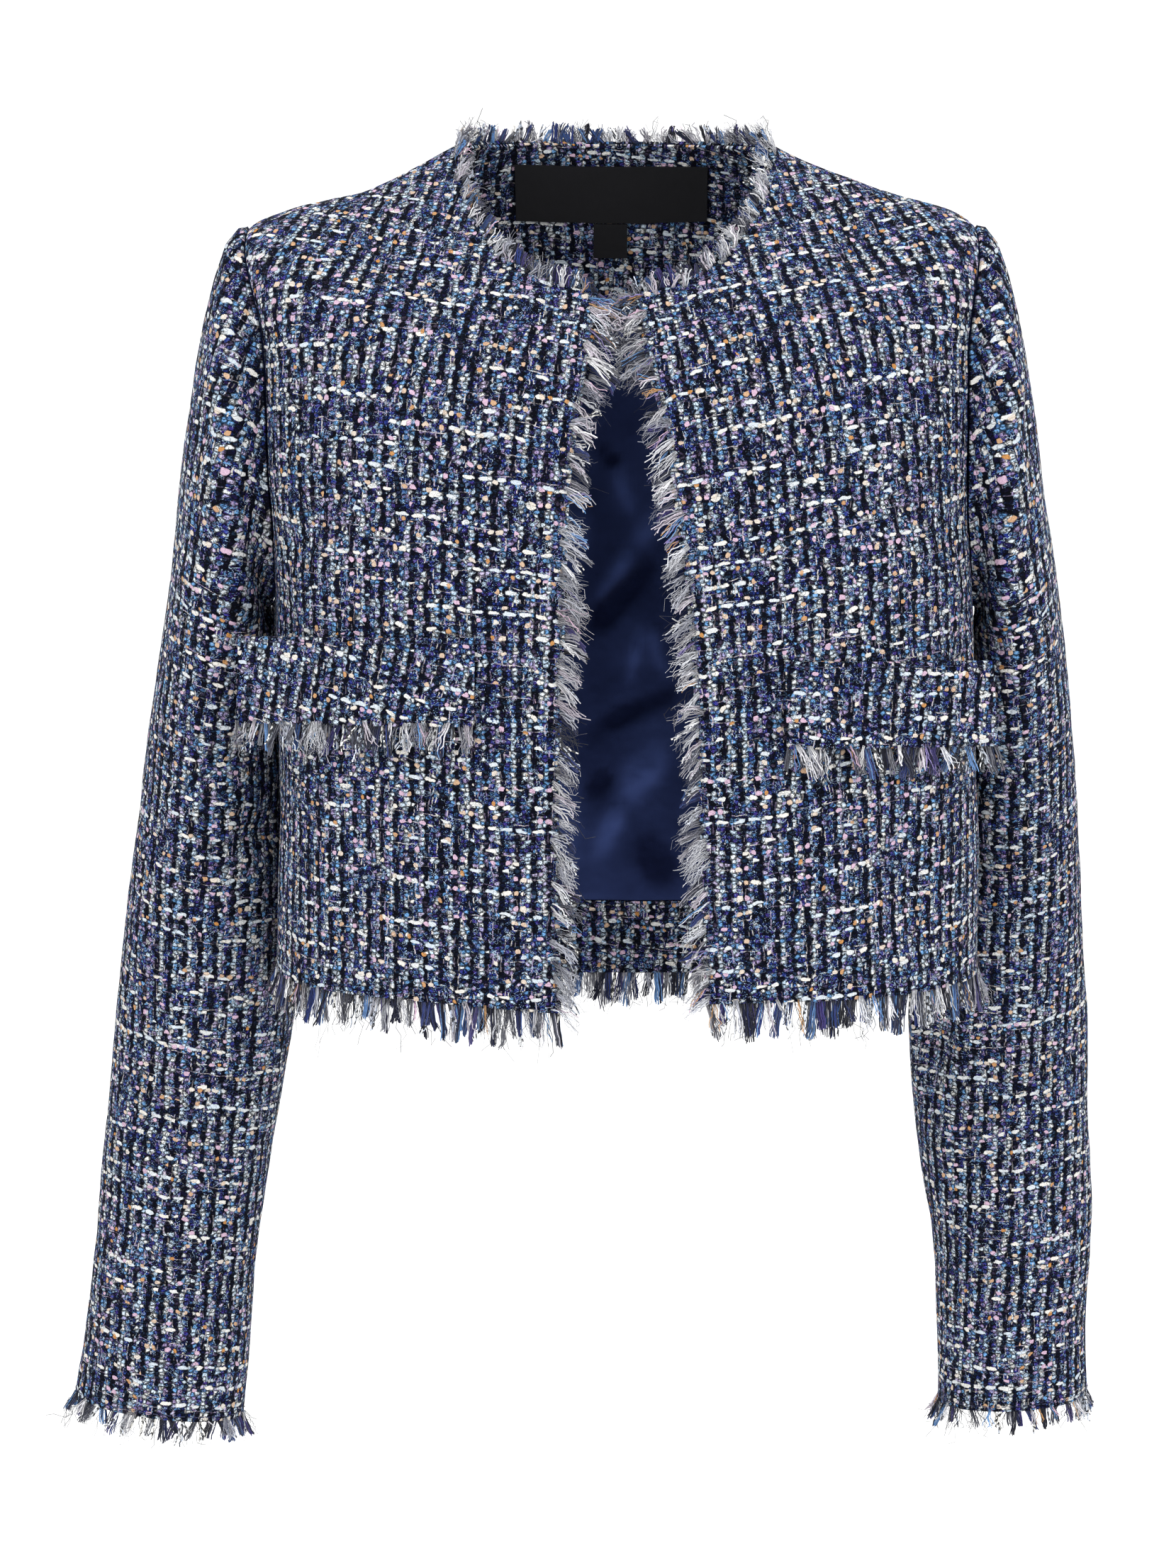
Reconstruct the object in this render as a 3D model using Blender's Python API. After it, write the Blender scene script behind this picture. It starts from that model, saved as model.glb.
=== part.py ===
"""Cropped tweed jacket, worn shape with no wearer: open front, round neck, two flaps, fringed edges.

Millimetres in the tables, metres in the meshes. +Z up, the front faces -Y, and +X is the wearer's
left. The origin lies midway between the two points where neckline and shoulder seam meet.
"""

import math
import random
from collections import namedtuple

import bmesh
import bpy
import numpy as np

MM = 0.001

# Cloth and seams.
CLOTH = 2.4
FLAP_CLOTH = 2.8
FACING_CLOTH = 1.6
LINING_CLOTH = 1.0
LABEL_CLOTH = 0.8
SEAM = 0.3
FLAP_GAP = 0.8
FACING_GAP = 0.7

# The body is a stack of closed sections, hem to neckline. half is half the width and shift its
# centre, front and back are the depths, z_front, z_side and z_back the heights at the centre front,
# the side and the centre back. square is the section's superellipse exponent and fall how its
# height runs from the side to the centre. right_edge and left_edge are the front edges' places.
Section = namedtuple(
    "Section", "name half shift front back z_front z_side z_back square fall right_edge left_edge"
)
SECTIONS = [
    Section("hem", 183, 7, 112, 110, -434, -426, -446, 2.6, 0.8, -27.5, 45),
    Section("waist", 182, 7, 114, 111, -336, -334, -338, 2.7, 1.4, -28.5, 41.5),
    Section("underarm", 181, 5, 116, 112, -240, -238, -242, 2.8, 1.6, -25, 36),
    Section("chest", 182, 2, 114, 112, -185, -176, -189, 2.8, 1.6, -23.5, 28.5),
    Section("upper", 186, 0, 109, 109, -145, -98, -132, 2.5, 1.6, -19, 23),
    Section("shoulder_tip", 188, -2, 101, 101, -117, -43.5, -84, 2.15, 1.5, -13, 15.5),
    Section("shoulder_slope", 132, 4, 89, 84, -97, -24, -36, 2.1, 1.25, -10, 11.5),
    Section("neckline", 80, -1, 76, 62, -79, 0, 4, 2.1, 1.0, -8.5, 9),
]
HEM, UNDERARM, SHOULDER_TIP, NECKLINE = 0, 2, 5, 7

# The right front's lower corner hangs this much lower, most at this turn and less over this spread.
Droop = namedtuple("Droop", "depth turn spread top_row")
CORNER_DROOP = Droop(5.0, -16, 22, 2)

# Rows of the panels' grids, and how far the armhole's front and back lie from the side seam.
HEM_ROWS = 6
ARMHOLE_ROWS = 9
SHOULDER_ROWS = 5
FRONT_COLUMNS = 9
BACK_COLUMNS = 16
ARMHOLE_FRONT_TURN = 12.5
ARMHOLE_BACK_TURN = 17

# Sleeves, seam to cuff: where the outer and the inner line lie, the section's centre in Y and its
# half depth, and how far the section has turned from the armhole's outline into its own ellipse.
Cut = namedtuple("Cut", "name outer_x outer_z inner_x inner_z y depth own")
RIGHT_SLEEVE = [
    Cut("head", -200, -44, -180, -241, 3, 50, 0.4),
    Cut("cap", -207, -62, -182, -246, 5, 56, 0.8),
    Cut("upper_arm", -217, -113, -180, -253, 9, 61, 1.0),
    Cut("biceps", -227, -177, -178, -265, 15, 63, 1.0),
    Cut("above_elbow", -237, -245, -177, -288, 25, 60, 1.0),
    Cut("elbow", -248, -318, -174, -336, 36, 56, 1.0),
    Cut("forearm", -259, -398, -171, -406, 45, 52, 1.0),
    Cut("below_hem", -267, -462, -172, -466, 51, 48, 1.0),
    Cut("crook", -274, -530, -184, -532, 54, 46, 1.0),
    Cut("lower_arm", -280, -580, -192, -582, 55, 44, 1.0),
    Cut("wrist", -286, -635, -197.5, -638, 56, 42, 1.0),
    Cut("cuff", -291, -668, -202, -680, 57, 42, 1.0),
]
LEFT_SLEEVE = [
    Cut("head", 197, -44, 187, -241, 3, 50, 0.4),
    Cut("cap", 204.5, -63, 190, -246, 6, 56, 0.8),
    Cut("upper_arm", 214.5, -113, 189, -253, 12, 61, 1.0),
    Cut("biceps", 223.5, -177, 188, -266, 22, 63, 1.0),
    Cut("above_elbow", 236, -245, 186, -290, 38, 60, 1.0),
    Cut("elbow", 246, -318, 180, -336, 58, 55, 1.0),
    Cut("forearm", 253, -398, 167, -406, 77, 51, 1.0),
    Cut("below_hem", 256.5, -462, 160, -466, 87, 48, 1.0),
    Cut("crook", 259, -530, 166, -532, 93, 46, 1.0),
    Cut("lower_arm", 261, -580, 175, -582, 95, 44, 1.0),
    Cut("wrist", 260, -635, 179, -638, 97, 42, 1.0),
    Cut("cuff", 261, -676, 180, -682, 98, 42, 1.0),
]
SLEEVE_RINGS_PER_CUT = 2
SLEEVE_CLEARANCE = 2.0
# The sleeve leaves the armhole's edge at this angle to the body's normal, at its top and sides.
SLEEVE_LEAVES = {"middle": 35, "swing": 35}
SLEEVE_FIRST_STEP = 1.5
SLEEVE_START_STEP = 5.0

# Flaps: inner and outer end, top line at each end, height, and where the flap leaves the body.
Flap = namedtuple("Flap", "side inner_x outer_x inner_top outer_top height leave_x")
FLAPS = [
    Flap("right", -70, -199, -250, -252, 44, 130),
    Flap("left", 84, 197, -262, -264, 43, 138),
]
FLAP_COLUMNS = 7
FLAP_ROWS = 3
FLAP_STAND_OFF = 4.0

# Inside pieces. The facings and the lining are cut on the back panel's own rows.
HEM_FACING_TOP = -393
NECK_FACING_ROWS = 6
INSIDE_TRIM = 0.5
LINING_HANG = 1.6
Fold = namedtuple("Fold", "turn lean width depth")
LINING_FOLDS = [
    Fold(112, -6, 9, 5.0),
    Fold(136, 9, 11, 6.0),
    Fold(161, -8, 8, 5.0),
    Fold(178, 12, 10, 6.5),
    Fold(203, -10, 9, 5.5),
    Fold(228, 7, 12, 5.0),
    Fold(249, -5, 9, 4.5),
]
Label = namedtuple("Label", "x top width height lift columns")
LABELS = {
    "label_main": Label(-1.5, -6.5, 102, 30, 0.0, 6),
    "label_size": Label(-2, -36.8, 18, 18, 0.4, 2),
}
LABEL_TURNS = (110, 250)
LABEL_GAP = 0.5

# Fringe: the number of strands on each stretch of an edge, or on the whole front edge, and their
# length.
Fringe = namedtuple("Fringe", "strands length")
FRINGES = {
    "neck": Fringe(2, 13),
    "front": Fringe(23, 15),
    "hem": Fringe(2, 21),
    "cuff": Fringe(1, 15),
    "flap": Fringe(2, 19),
}
FRONT_ROWS = (0.04, 6.88)
FRONT_STEPS = 40
STRIP_TRIM = 0.1
FRONT_STRIP_GAP = 0.5
FRONT_MEETING_GAP = 1.0
STRIP_WIDTH = 2.0
STRIP_CLOTH = 1.6
STRAND_TAPER = 0.45
STRAND_LEAN = 0.22
STRAND_UNEVEN = 0.22

# A normal is taken over this turn and part of a row each way, round the shoulder's ridge too.
NORMAL_TURN = 3
NORMAL_ROW = 0.02
# Steps in a search for a row or a turn.
SEARCH_STEPS = 60
# How far behind an edge the cloth's way there is read, as part of a row or a turn.
EDGE_ROW = 0.1
EDGE_TURN = 2

SIDES = {"right": -1, "left": 1}

Finish = namedtuple("Finish", "name color roughness")
TWEED = Finish("tweed", (0.115, 0.145, 0.235), 0.95)
FRAYED = Finish("frayed_yarn", (0.30, 0.34, 0.42), 1.0)
SATIN = Finish("satin_lining", (0.012, 0.022, 0.085), 0.35)
RIBBON = Finish("black_ribbon", (0.006, 0.006, 0.008), 0.7)


def table_value(table, column, place):
    """A column read at a place between the table's rows, on a smooth curve through them."""
    place = min(max(place, 0.0), len(table) - 1.0)
    row = min(int(place), len(table) - 2)
    part = place - row
    before, start, end, after = (
        getattr(table[min(max(index, 0), len(table) - 1)], column)
        for index in (row - 1, row, row + 1, row + 2)
    )
    slope_start = (end - before) / 2 if row else end - start
    slope_end = (after - start) / 2 if row < len(table) - 2 else end - start
    square, cube = part * part, part**3
    return (
        start * (2 * cube - 3 * square + 1)
        + slope_start * (cube - 2 * square + part)
        + end * (3 * square - 2 * cube)
        + slope_end * (cube - square)
    )


def body(column, row):
    return table_value(SECTIONS, column, row)


def corner_droop(row, turn):
    """How much lower the cloth hangs near the right front's lower corner."""
    turned = (turn + 180) % 360 - 180
    near = math.exp(-(((turned - CORNER_DROOP.turn) / CORNER_DROOP.spread) ** 2))
    low = max(0.0, 1 - row / CORNER_DROOP.top_row)
    return CORNER_DROOP.depth * near * low * low


def body_point(row, turn):
    """The body's outer surface. turn is in degrees from the centre front, positive to the left."""
    angle = math.radians(turn)
    across, along = math.sin(angle), math.cos(angle)
    depth = body("front", row) if along > 0 else body("back", row)
    power = body("square", row)
    half = body("half", row)
    reach = (abs(across / half) ** power + abs(along / depth) ** power) ** (-1 / power)
    share = abs(reach * along / depth) ** body("fall", row)
    middle = body("z_front", row) if along > 0 else body("z_back", row)
    side = body("z_side", row)
    height = side + (middle - side) * share - corner_droop(row, turn)
    return np.array([body("shift", row) + reach * across, -reach * along, height])


def body_normal(row, turn):
    """The direction out of the body, square to its surface."""
    low, high = max(row - NORMAL_ROW, HEM), min(row + NORMAL_ROW, NECKLINE)
    along = body_point(high, turn) - body_point(low, turn)
    across = body_point(row, turn + NORMAL_TURN) - body_point(row, turn - NORMAL_TURN)
    normal = np.cross(across, along)
    return normal / np.linalg.norm(normal)


def on_body(row, turn, out=0.0):
    return body_point(row, turn) + out * body_normal(row, turn)


def turn_at(row, x):
    """The turn where the front of the section at this row has this X."""
    across = min(abs(x - body("shift", row)) / body("half", row), 0.999)
    power = body("square", row)
    depth = body("front", row) * (1 - across**power) ** (1 / power)
    return math.degrees(math.atan2(x - body("shift", row), depth))


def row_at(z):
    """The row, at the hem or above it and below the underarm, whose side has this height."""
    rows = np.linspace(HEM, UNDERARM, SEARCH_STEPS)
    return float(np.interp(z, [body("z_side", row) for row in rows], rows))


def armhole_turn(row, reach):
    """How far the armhole lies from the side at this row, with its greatest reach given."""
    middle = (UNDERARM + SHOULDER_TIP) / 2
    half = (SHOULDER_TIP - UNDERARM) / 2
    return reach * math.sqrt(max(0.0, 1 - ((row - middle) / half) ** 2))


def panel_rows():
    """Rows of a panel's grid. In the armhole they are close at its top and bottom."""
    middle = (UNDERARM + SHOULDER_TIP) / 2
    half = (SHOULDER_TIP - UNDERARM) / 2
    rows = [HEM, *np.linspace(row_at(HEM_FACING_TOP), UNDERARM, HEM_ROWS)]
    rows += [middle - half * math.cos(math.pi * i / ARMHOLE_ROWS) for i in range(1, ARMHOLE_ROWS)]
    rows += list(np.linspace(SHOULDER_TIP, NECKLINE, SHOULDER_ROWS + 1))
    return rows


def seam_turn(row):
    """Half a seam's gap at the side, as a turn."""
    return math.degrees(SEAM / 2 / body("half", row))


def front_turns(side, row, columns=FRONT_COLUMNS):
    """Turns of a front's columns, from its front edge to the side seam or the armhole."""
    sign = SIDES[side]
    start = turn_at(row, body(side + "_edge", row))
    end = sign * (90 - seam_turn(row) - armhole_turn(row, ARMHOLE_FRONT_TURN))
    return [start + (end - start) * i / columns for i in range(columns + 1)]


def back_turns(row, columns=BACK_COLUMNS):
    """Turns of the back's columns, from the left seam or armhole round to the right one."""
    start = 90 + seam_turn(row) + armhole_turn(row, ARMHOLE_BACK_TURN)
    end = 360 - start
    return [start + (end - start) * i / columns for i in range(columns + 1)]


def grid_on_body(rows, turns_of_row, out=0.0):
    """Points of a grid that lies on the body, moved out by a distance."""
    return np.array([[on_body(row, turn, out) for turn in turns_of_row(row)] for row in rows])


def material(finish):
    """A plain material for a finish, made once."""
    found = bpy.data.materials.get(finish.name)
    if found:
        return found
    made = bpy.data.materials.new(finish.name)
    made.use_nodes = True
    shader = made.node_tree.nodes["Principled BSDF"]
    shader.inputs["Base Color"].default_value = (*finish.color, 1.0)
    shader.inputs["Roughness"].default_value = finish.roughness
    shader.inputs["Metallic"].default_value = 0.0
    return made


def add_node(name, mesh, finish, collection):
    """Puts a mesh in the scene as a named piece, with faces outward."""
    data = bpy.data.meshes.new(name)
    bmesh.ops.recalc_face_normals(mesh, faces=mesh.faces)
    bmesh.ops.triangulate(mesh, faces=mesh.faces)
    mesh.to_mesh(data)
    mesh.free()
    data.shade_smooth()
    data.set_sharp_from_angle(angle=math.radians(40))
    data.materials.append(material(finish))
    node = bpy.data.objects.new(name, data)
    collection.objects.link(node)
    return node


def cloth_wall(name, outer, inner, finish, collection, tube=False):
    """A wall of cloth between two grids of points. A tube is closed round its columns."""
    rows, columns = outer.shape[:2]
    mesh = bmesh.new()
    skins = []
    for grid in (outer, inner):
        skins.append([[mesh.verts.new(point * MM) for point in line] for line in grid])
    last = columns if tube else columns - 1
    for skin in skins:
        for i in range(rows - 1):
            for j in range(last):
                k = (j + 1) % columns
                mesh.faces.new((skin[i][j], skin[i][k], skin[i + 1][k], skin[i + 1][j]))
    top, under = skins
    for i in (0, rows - 1):
        for j in range(last):
            k = (j + 1) % columns
            mesh.faces.new((top[i][j], top[i][k], under[i][k], under[i][j]))
    if not tube:
        for j in (0, columns - 1):
            for i in range(rows - 1):
                mesh.faces.new((top[i][j], top[i + 1][j], under[i + 1][j], under[i][j]))
    return add_node(name, mesh, finish, collection)


def add_front(side, collection):
    rows = panel_rows()
    outer = grid_on_body(rows, lambda row: front_turns(side, row))
    inner = grid_on_body(rows, lambda row: front_turns(side, row), out=-CLOTH)
    return cloth_wall("front_" + side, outer, inner, TWEED, collection)


def add_back(collection):
    rows = panel_rows()
    outer = grid_on_body(rows, back_turns)
    inner = grid_on_body(rows, back_turns, out=-CLOTH)
    return cloth_wall("back", outer, inner, TWEED, collection)


def armhole_loop(side):
    """The armhole's edge and the body's normal there, from the shoulder round by the front."""
    sign = SIDES[side]
    middle = (UNDERARM + SHOULDER_TIP) / 2
    half = (SHOULDER_TIP - UNDERARM) / 2
    points, normals = [], []
    for i in range(2 * ARMHOLE_ROWS):
        angle = math.pi * i / ARMHOLE_ROWS
        reach = ARMHOLE_FRONT_TURN if i < ARMHOLE_ROWS else ARMHOLE_BACK_TURN
        row = middle + half * math.cos(angle)
        turn = sign * (90 - reach * math.sin(angle))
        points.append(body_point(row, turn))
        normals.append(body_normal(row, turn))
    return np.array(points), np.array(normals)


def unit(vectors):
    return vectors / np.linalg.norm(vectors, axis=-1, keepdims=True)


def clear_of_body(point, gap):
    """Moves a point that lies inside the body's section, or too near it, straight out of it."""
    row = row_at(point[2])
    across = point[0] - body("shift", row)
    depth = body("front", row) if point[1] < 0 else body("back", row)
    power = body("square", row)
    share = abs(across / (body("half", row) + gap)) ** power + abs(point[1] / (depth + gap)) ** power
    if share >= 1 or point[2] > body("z_side", UNDERARM):
        return point
    grow = share ** (-1 / power)
    return np.array([body("shift", row) + across * grow, point[1] * grow, point[2]])


def sleeve_start(side):
    """Where the sleeve's inner skin starts, the way it leaves the seam, and its wall's own way."""
    loop, normals = armhole_loop(side)
    round_loop = unit(np.roll(loop, -1, axis=0) - np.roll(loop, 1, axis=0))
    away = unit(np.cross(normals, round_loop))
    away *= np.sign(np.sum(away * (loop - loop.mean(axis=0)), axis=1, keepdims=True))
    angles = np.pi * np.arange(len(loop)) / ARMHOLE_ROWS
    lean = np.radians(SLEEVE_LEAVES["middle"] + SLEEVE_LEAVES["swing"] * np.cos(angles))[:, None]
    leaves = normals * np.cos(lean) - away * np.sin(lean)
    through = away * np.cos(lean) + normals * np.sin(lean)
    return loop + SEAM * leaves, leaves, through


def sleeve_rings(side):
    """The sleeve's outer skin, ring by ring from the armhole to the cuff, and its inner start."""
    table = RIGHT_SLEEVE if side == "right" else LEFT_SLEEVE
    start, leaves, through = sleeve_start(side)
    rings = [start + CLOTH * through]
    rings.append(rings[0] + SLEEVE_FIRST_STEP * leaves)
    for step in range((len(table) - 1) * SLEEVE_RINGS_PER_CUT + 1):
        place = step / SLEEVE_RINGS_PER_CUT
        cut = {column: table_value(table, column, place) for column in Cut._fields[1:]}
        outer = np.array([cut["outer_x"], cut["y"], cut["outer_z"]])
        inner = np.array([cut["inner_x"], cut["y"], cut["inner_z"]])
        ring = []
        for i, first in enumerate(rings[0] + SLEEVE_START_STEP * leaves):
            angle = math.pi * i / ARMHOLE_ROWS
            own = (outer + inner) / 2 + (outer - inner) / 2 * math.cos(angle)
            own[1] -= cut["depth"] * math.sin(angle)
            mixed = first + (own - first) * min(cut["own"], 1.0)
            ring.append(clear_of_body(mixed, SLEEVE_CLEARANCE))
        rings.append(np.array(ring))
    return np.array(rings), start


def grid_normals(grid):
    """Normals of a tube's grid, pointing out of the tube."""
    around = np.roll(grid, -1, axis=1) - np.roll(grid, 1, axis=1)
    along = np.gradient(grid, axis=0)
    normals = unit(np.cross(around, along))
    outward = grid - grid.mean(axis=1, keepdims=True)
    return normals * np.sign(np.sum(normals * outward))


def add_sleeve(side, collection):
    outer, start = sleeve_rings(side)
    inner = outer - CLOTH * grid_normals(outer)
    inner[0] = start
    inner[1] = start + (outer[1] - outer[0])
    return cloth_wall("sleeve_" + side, outer, inner, TWEED, collection, tube=True)


def flap_point(flap, across, down, out):
    """A point of a flap. It follows the body, then runs straight on and stands off it."""
    sign = SIDES[flap.side]
    x = flap.inner_x + (flap.outer_x - flap.inner_x) * across
    top = flap.inner_top + (flap.outer_top - flap.inner_top) * across
    z = top - flap.height * down
    row = row_at(z)
    kept_x = sign * min(abs(x), flap.leave_x)
    turn = turn_at(row, kept_x)
    base = body_point(row, turn)
    base[2] = z
    normal = body_normal(row, turn)
    near = body_point(row, turn - sign * 0.5)
    tangent = unit(body_point(row, turn) - near)
    tangent[2] = 0
    point = base + tangent * max(0.0, abs(x) - flap.leave_x)
    return point + normal * (FLAP_GAP + out + FLAP_STAND_OFF * down**1.5)


def flap_grid(flap, out):
    return np.array(
        [
            [
                flap_point(flap, j / FLAP_COLUMNS, i / FLAP_ROWS, out)
                for j in range(FLAP_COLUMNS + 1)
            ]
            for i in range(FLAP_ROWS + 1)
        ]
    )


def add_flap(flap, collection):
    outer = flap_grid(flap, FLAP_CLOTH)
    inner = flap_grid(flap, 0.0)
    return cloth_wall("flap_" + flap.side, outer, inner, TWEED, collection)


def between(first, second, share):
    return first + (second - first) * share


def inside_grid(rows, depth):
    """The back's grid moved in by a depth, with its two end columns drawn in from the seams."""
    grid = grid_on_body(rows, back_turns, out=-depth)
    grid[:, 0] = between(grid[:, 0], grid[:, 1], INSIDE_TRIM)
    grid[:, -1] = between(grid[:, -1], grid[:, -2], INSIDE_TRIM)
    return grid


def finer_columns(grid):
    """The grid with a column added halfway between each two."""
    middle = (grid[:, 1:] + grid[:, :-1]) / 2
    finer = np.empty((grid.shape[0], grid.shape[1] * 2 - 1, 3))
    finer[:, ::2] = grid
    finer[:, 1::2] = middle
    return finer


def lining_hang(height, turn):
    """How far the lining hangs in from the back, at a share of its height, with its soft folds."""
    hang = LINING_HANG
    for fold in LINING_FOLDS:
        offset = (turn - fold.turn - fold.lean * (height - 0.5) * 2) / fold.width
        hang += fold.depth * math.exp(-2 * offset * offset)
    return hang * math.sin(math.pi * height) ** 0.5


def add_lining(rows, collection):
    """The lining between the two facings, free of them by a seam at its top and bottom."""
    skin = finer_columns(inside_grid(rows, CLOTH + FACING_GAP))
    deeper = finer_columns(inside_grid(rows, CLOTH + FACING_GAP + LINING_CLOTH))
    inward = unit(deeper - skin)
    for edge, neighbour in ((0, 1), (-1, -2)):
        reach = np.linalg.norm(skin[edge] - skin[neighbour], axis=1, keepdims=True)
        skin[edge] = between(skin[edge], skin[neighbour], SEAM / reach)
    hang = np.zeros(skin.shape[:2])
    for i, row in enumerate(rows):
        turns = np.interp(np.linspace(0, 1, skin.shape[1]), [0, 1], back_turns(row, 1))
        for j, turn in enumerate(turns):
            hang[i, j] = lining_hang(i / (len(rows) - 1), turn)
    outer = skin + inward * hang[:, :, None]
    inner = outer + inward * LINING_CLOTH
    cloth_wall("lining", outer, inner, SATIN, collection)


def add_inside(collection):
    """The facings at the back neck and the back hem, and the lining between them."""
    rows = panel_rows()
    skin = CLOTH + FACING_GAP
    neck_start = len(rows) - NECK_FACING_ROWS
    for name, cut in (("neck_facing", rows[neck_start:]), ("hem_facing", rows[:2])):
        outer = inside_grid(cut, skin)
        inner = inside_grid(cut, skin + FACING_CLOTH)
        cloth_wall(name, outer, inner, TWEED, collection)
    add_lining(rows[1 : neck_start + 1], collection)


def back_row_at(z):
    """The row between the shoulder tips and the neckline whose centre back has this height."""
    rows = np.linspace(SHOULDER_TIP, NECKLINE, SEARCH_STEPS)
    return float(np.interp(z, [body("z_back", row) for row in rows], rows))


def inside_turn(row, x, out):
    """The turn round the back where a point this far in from the body has this X."""
    turns = np.linspace(LABEL_TURNS[1], LABEL_TURNS[0], SEARCH_STEPS)
    return float(np.interp(x, [on_body(row, turn, -out)[0] for turn in turns], turns))


def label_grid(label, out):
    """Points of a label that lies on the neck facing's inner side."""
    lines = []
    for z in (label.top, label.top - label.height):
        row = back_row_at(z)
        places = np.linspace(-0.5, 0.5, label.columns + 1) * label.width + label.x
        lines.append([on_body(row, inside_turn(row, place, out), -out) for place in places])
    return np.array(lines)


def add_labels(collection):
    """A woven main label with a small size label under it, both bare."""
    for name, label in LABELS.items():
        start = CLOTH + FACING_GAP + FACING_CLOTH + LABEL_GAP + label.lift
        near = label_grid(label, start)
        far = label_grid(label, start + LABEL_CLOTH)
        cloth_wall(name, near, far, RIBBON, collection)


def even_path(rows_of_points, count):
    """Matching rows of points read at even steps along the first of them."""
    path = rows_of_points[0]
    lengths = np.r_[0, np.cumsum(np.linalg.norm(np.diff(path, axis=0), axis=1))]
    places = np.linspace(0, lengths[-1], count + 1)
    return [
        np.stack([np.interp(places, lengths, rows[:, axis]) for axis in range(3)], axis=1)
        for rows in rows_of_points
    ]


def split_path(rows_of_points, parts):
    """Matching rows of points with each stretch split into equal parts."""
    if parts == 1:
        return list(rows_of_points)
    split = []
    for rows in rows_of_points:
        pieces = [between(rows[:-1], rows[1:], part / parts) for part in range(parts)]
        split.append(np.vstack([np.stack(pieces, axis=1).reshape(-1, 3), rows[-1:]]))
    return split


def add_fringe(name, edge, out, normal, length, collection, ring=False):
    """Strands on a narrow strip beside an edge, one strand for each stretch of the edge.

    edge, out and normal are matching rows: points of the strip's near side, directions away from
    the cloth and directions square to it. length is a strand's length, or one for each strand.
    """
    rng = random.Random(name)
    stations = len(edge)
    count = stations if ring else stations - 1
    lengths = np.broadcast_to(length, (count,))
    outs, normals = unit(out), unit(normal)
    mesh = bmesh.new()
    corners = []
    for near, away, up in zip(edge, outs, normals):
        sides = [near, near - up * STRIP_CLOTH]
        sides += [side + away * STRIP_WIDTH for side in sides]
        corners.append([mesh.verts.new(side * MM) for side in sides])
    for i in range(count):
        here, there = corners[i], corners[(i + 1) % stations]
        mesh.faces.new((here[0], there[0], there[2], here[2]))
        mesh.faces.new((here[1], here[3], there[3], there[1]))
        mesh.faces.new((here[0], here[1], there[1], there[0]))
        root = [here[2], there[2], there[3], here[3]]
        points = np.array([vertex.co for vertex in root])
        middle = points.mean(axis=0)
        away = unit(outs[i] + outs[(i + 1) % stations])
        up = unit(normals[i] + normals[(i + 1) % stations])
        along = unit(points[1] - points[0])
        uneven = 1 + STRAND_UNEVEN * rng.uniform(-1, 1)
        lean = STRAND_LEAN * rng.uniform(-1, 1)
        lift = STRAND_LEAN * rng.uniform(-0.2, 0.6)
        reach = (away + along * lean + up * lift) * (lengths[i] * uneven - STRIP_WIDTH) * MM
        tip = [mesh.verts.new(middle + reach + (point - middle) * STRAND_TAPER) for point in points]
        for j in range(4):
            k = (j + 1) % 4
            mesh.faces.new((root[j], root[k], tip[k], tip[j]))
        mesh.faces.new(tip)
    if not ring:
        for sides in (corners[0], corners[-1]):
            mesh.faces.new((sides[0], sides[1], sides[3], sides[2]))
    return add_node("fringe_" + name, mesh, FRAYED, collection)


def row_edge(row, turns):
    """The hem's or the neckline's edge: points, directions away from the cloth, normals."""
    turns = list(turns)
    turns[0] = between(turns[0], turns[1], STRIP_TRIM)
    turns[-1] = between(turns[-1], turns[-2], STRIP_TRIM)
    inside_row = row + EDGE_ROW if row == HEM else row - EDGE_ROW
    edge = np.array([body_point(row, turn) for turn in turns])
    inside = np.array([body_point(inside_row, turn) for turn in turns])
    normal = np.array([body_normal(row, turn) for turn in turns])
    return edge, unit(edge - inside), normal


def add_edge_fringe(name, kind, rows_of_points, collection, ring=False):
    """A fringe along a polyline that a piece of cloth ends in."""
    edge, out, normal = split_path(rows_of_points, FRINGES[kind].strands)
    length = FRINGES[kind].length
    add_fringe(name, edge + SEAM * unit(out), out, normal, length, collection, ring)


def add_front_fringe(side, collection):
    """A front edge's fringe, shorter where the two fronts come close."""
    sign = SIDES[side]
    rows = np.linspace(*FRONT_ROWS, FRONT_STEPS)
    turns = [turn_at(row, body(side + "_edge", row)) for row in rows]
    edge = np.array([body_point(row, turn) for row, turn in zip(rows, turns)])
    inside = [body_point(row, turn + sign * EDGE_TURN) for row, turn in zip(rows, turns)]
    normal = np.array([body_normal(row, turn) for row, turn in zip(rows, turns)])
    fringe = FRINGES["front"]
    edge, out, normal = even_path([edge, unit(edge - inside), normal], fringe.strands)
    places = (np.arange(fringe.strands) + 0.5) / fringe.strands
    half_gaps = [
        (body("left_edge", row) - body("right_edge", row)) / 2 - FRONT_MEETING_GAP
        for row in np.interp(places, np.linspace(0, 1, len(rows)), rows)
    ]
    longest = np.array(half_gaps) / (1 + STRAND_UNEVEN)
    length = np.minimum(fringe.length, longest)
    near = edge + FRONT_STRIP_GAP * unit(out)
    add_fringe("front_" + side, near, out, normal, length, collection)


def add_cuff_fringe(side, collection):
    rings, _ = sleeve_rings(side)
    cuff = (rings[-1], unit(rings[-1] - rings[-2]), grid_normals(rings)[-1])
    add_edge_fringe("cuff_" + side, "cuff", cuff, collection, ring=True)


def add_flap_fringe(flap, collection):
    outer = flap_grid(flap, FLAP_CLOTH)
    normal = unit(outer[-1] - flap_grid(flap, 0.0)[-1])
    edge = outer[-1] - normal * (FLAP_CLOTH - STRIP_CLOTH) / 2
    lower_edge = (edge, unit(outer[-1] - outer[-2]), normal)
    add_edge_fringe("flap_" + flap.side, "flap", lower_edge, collection)


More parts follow.
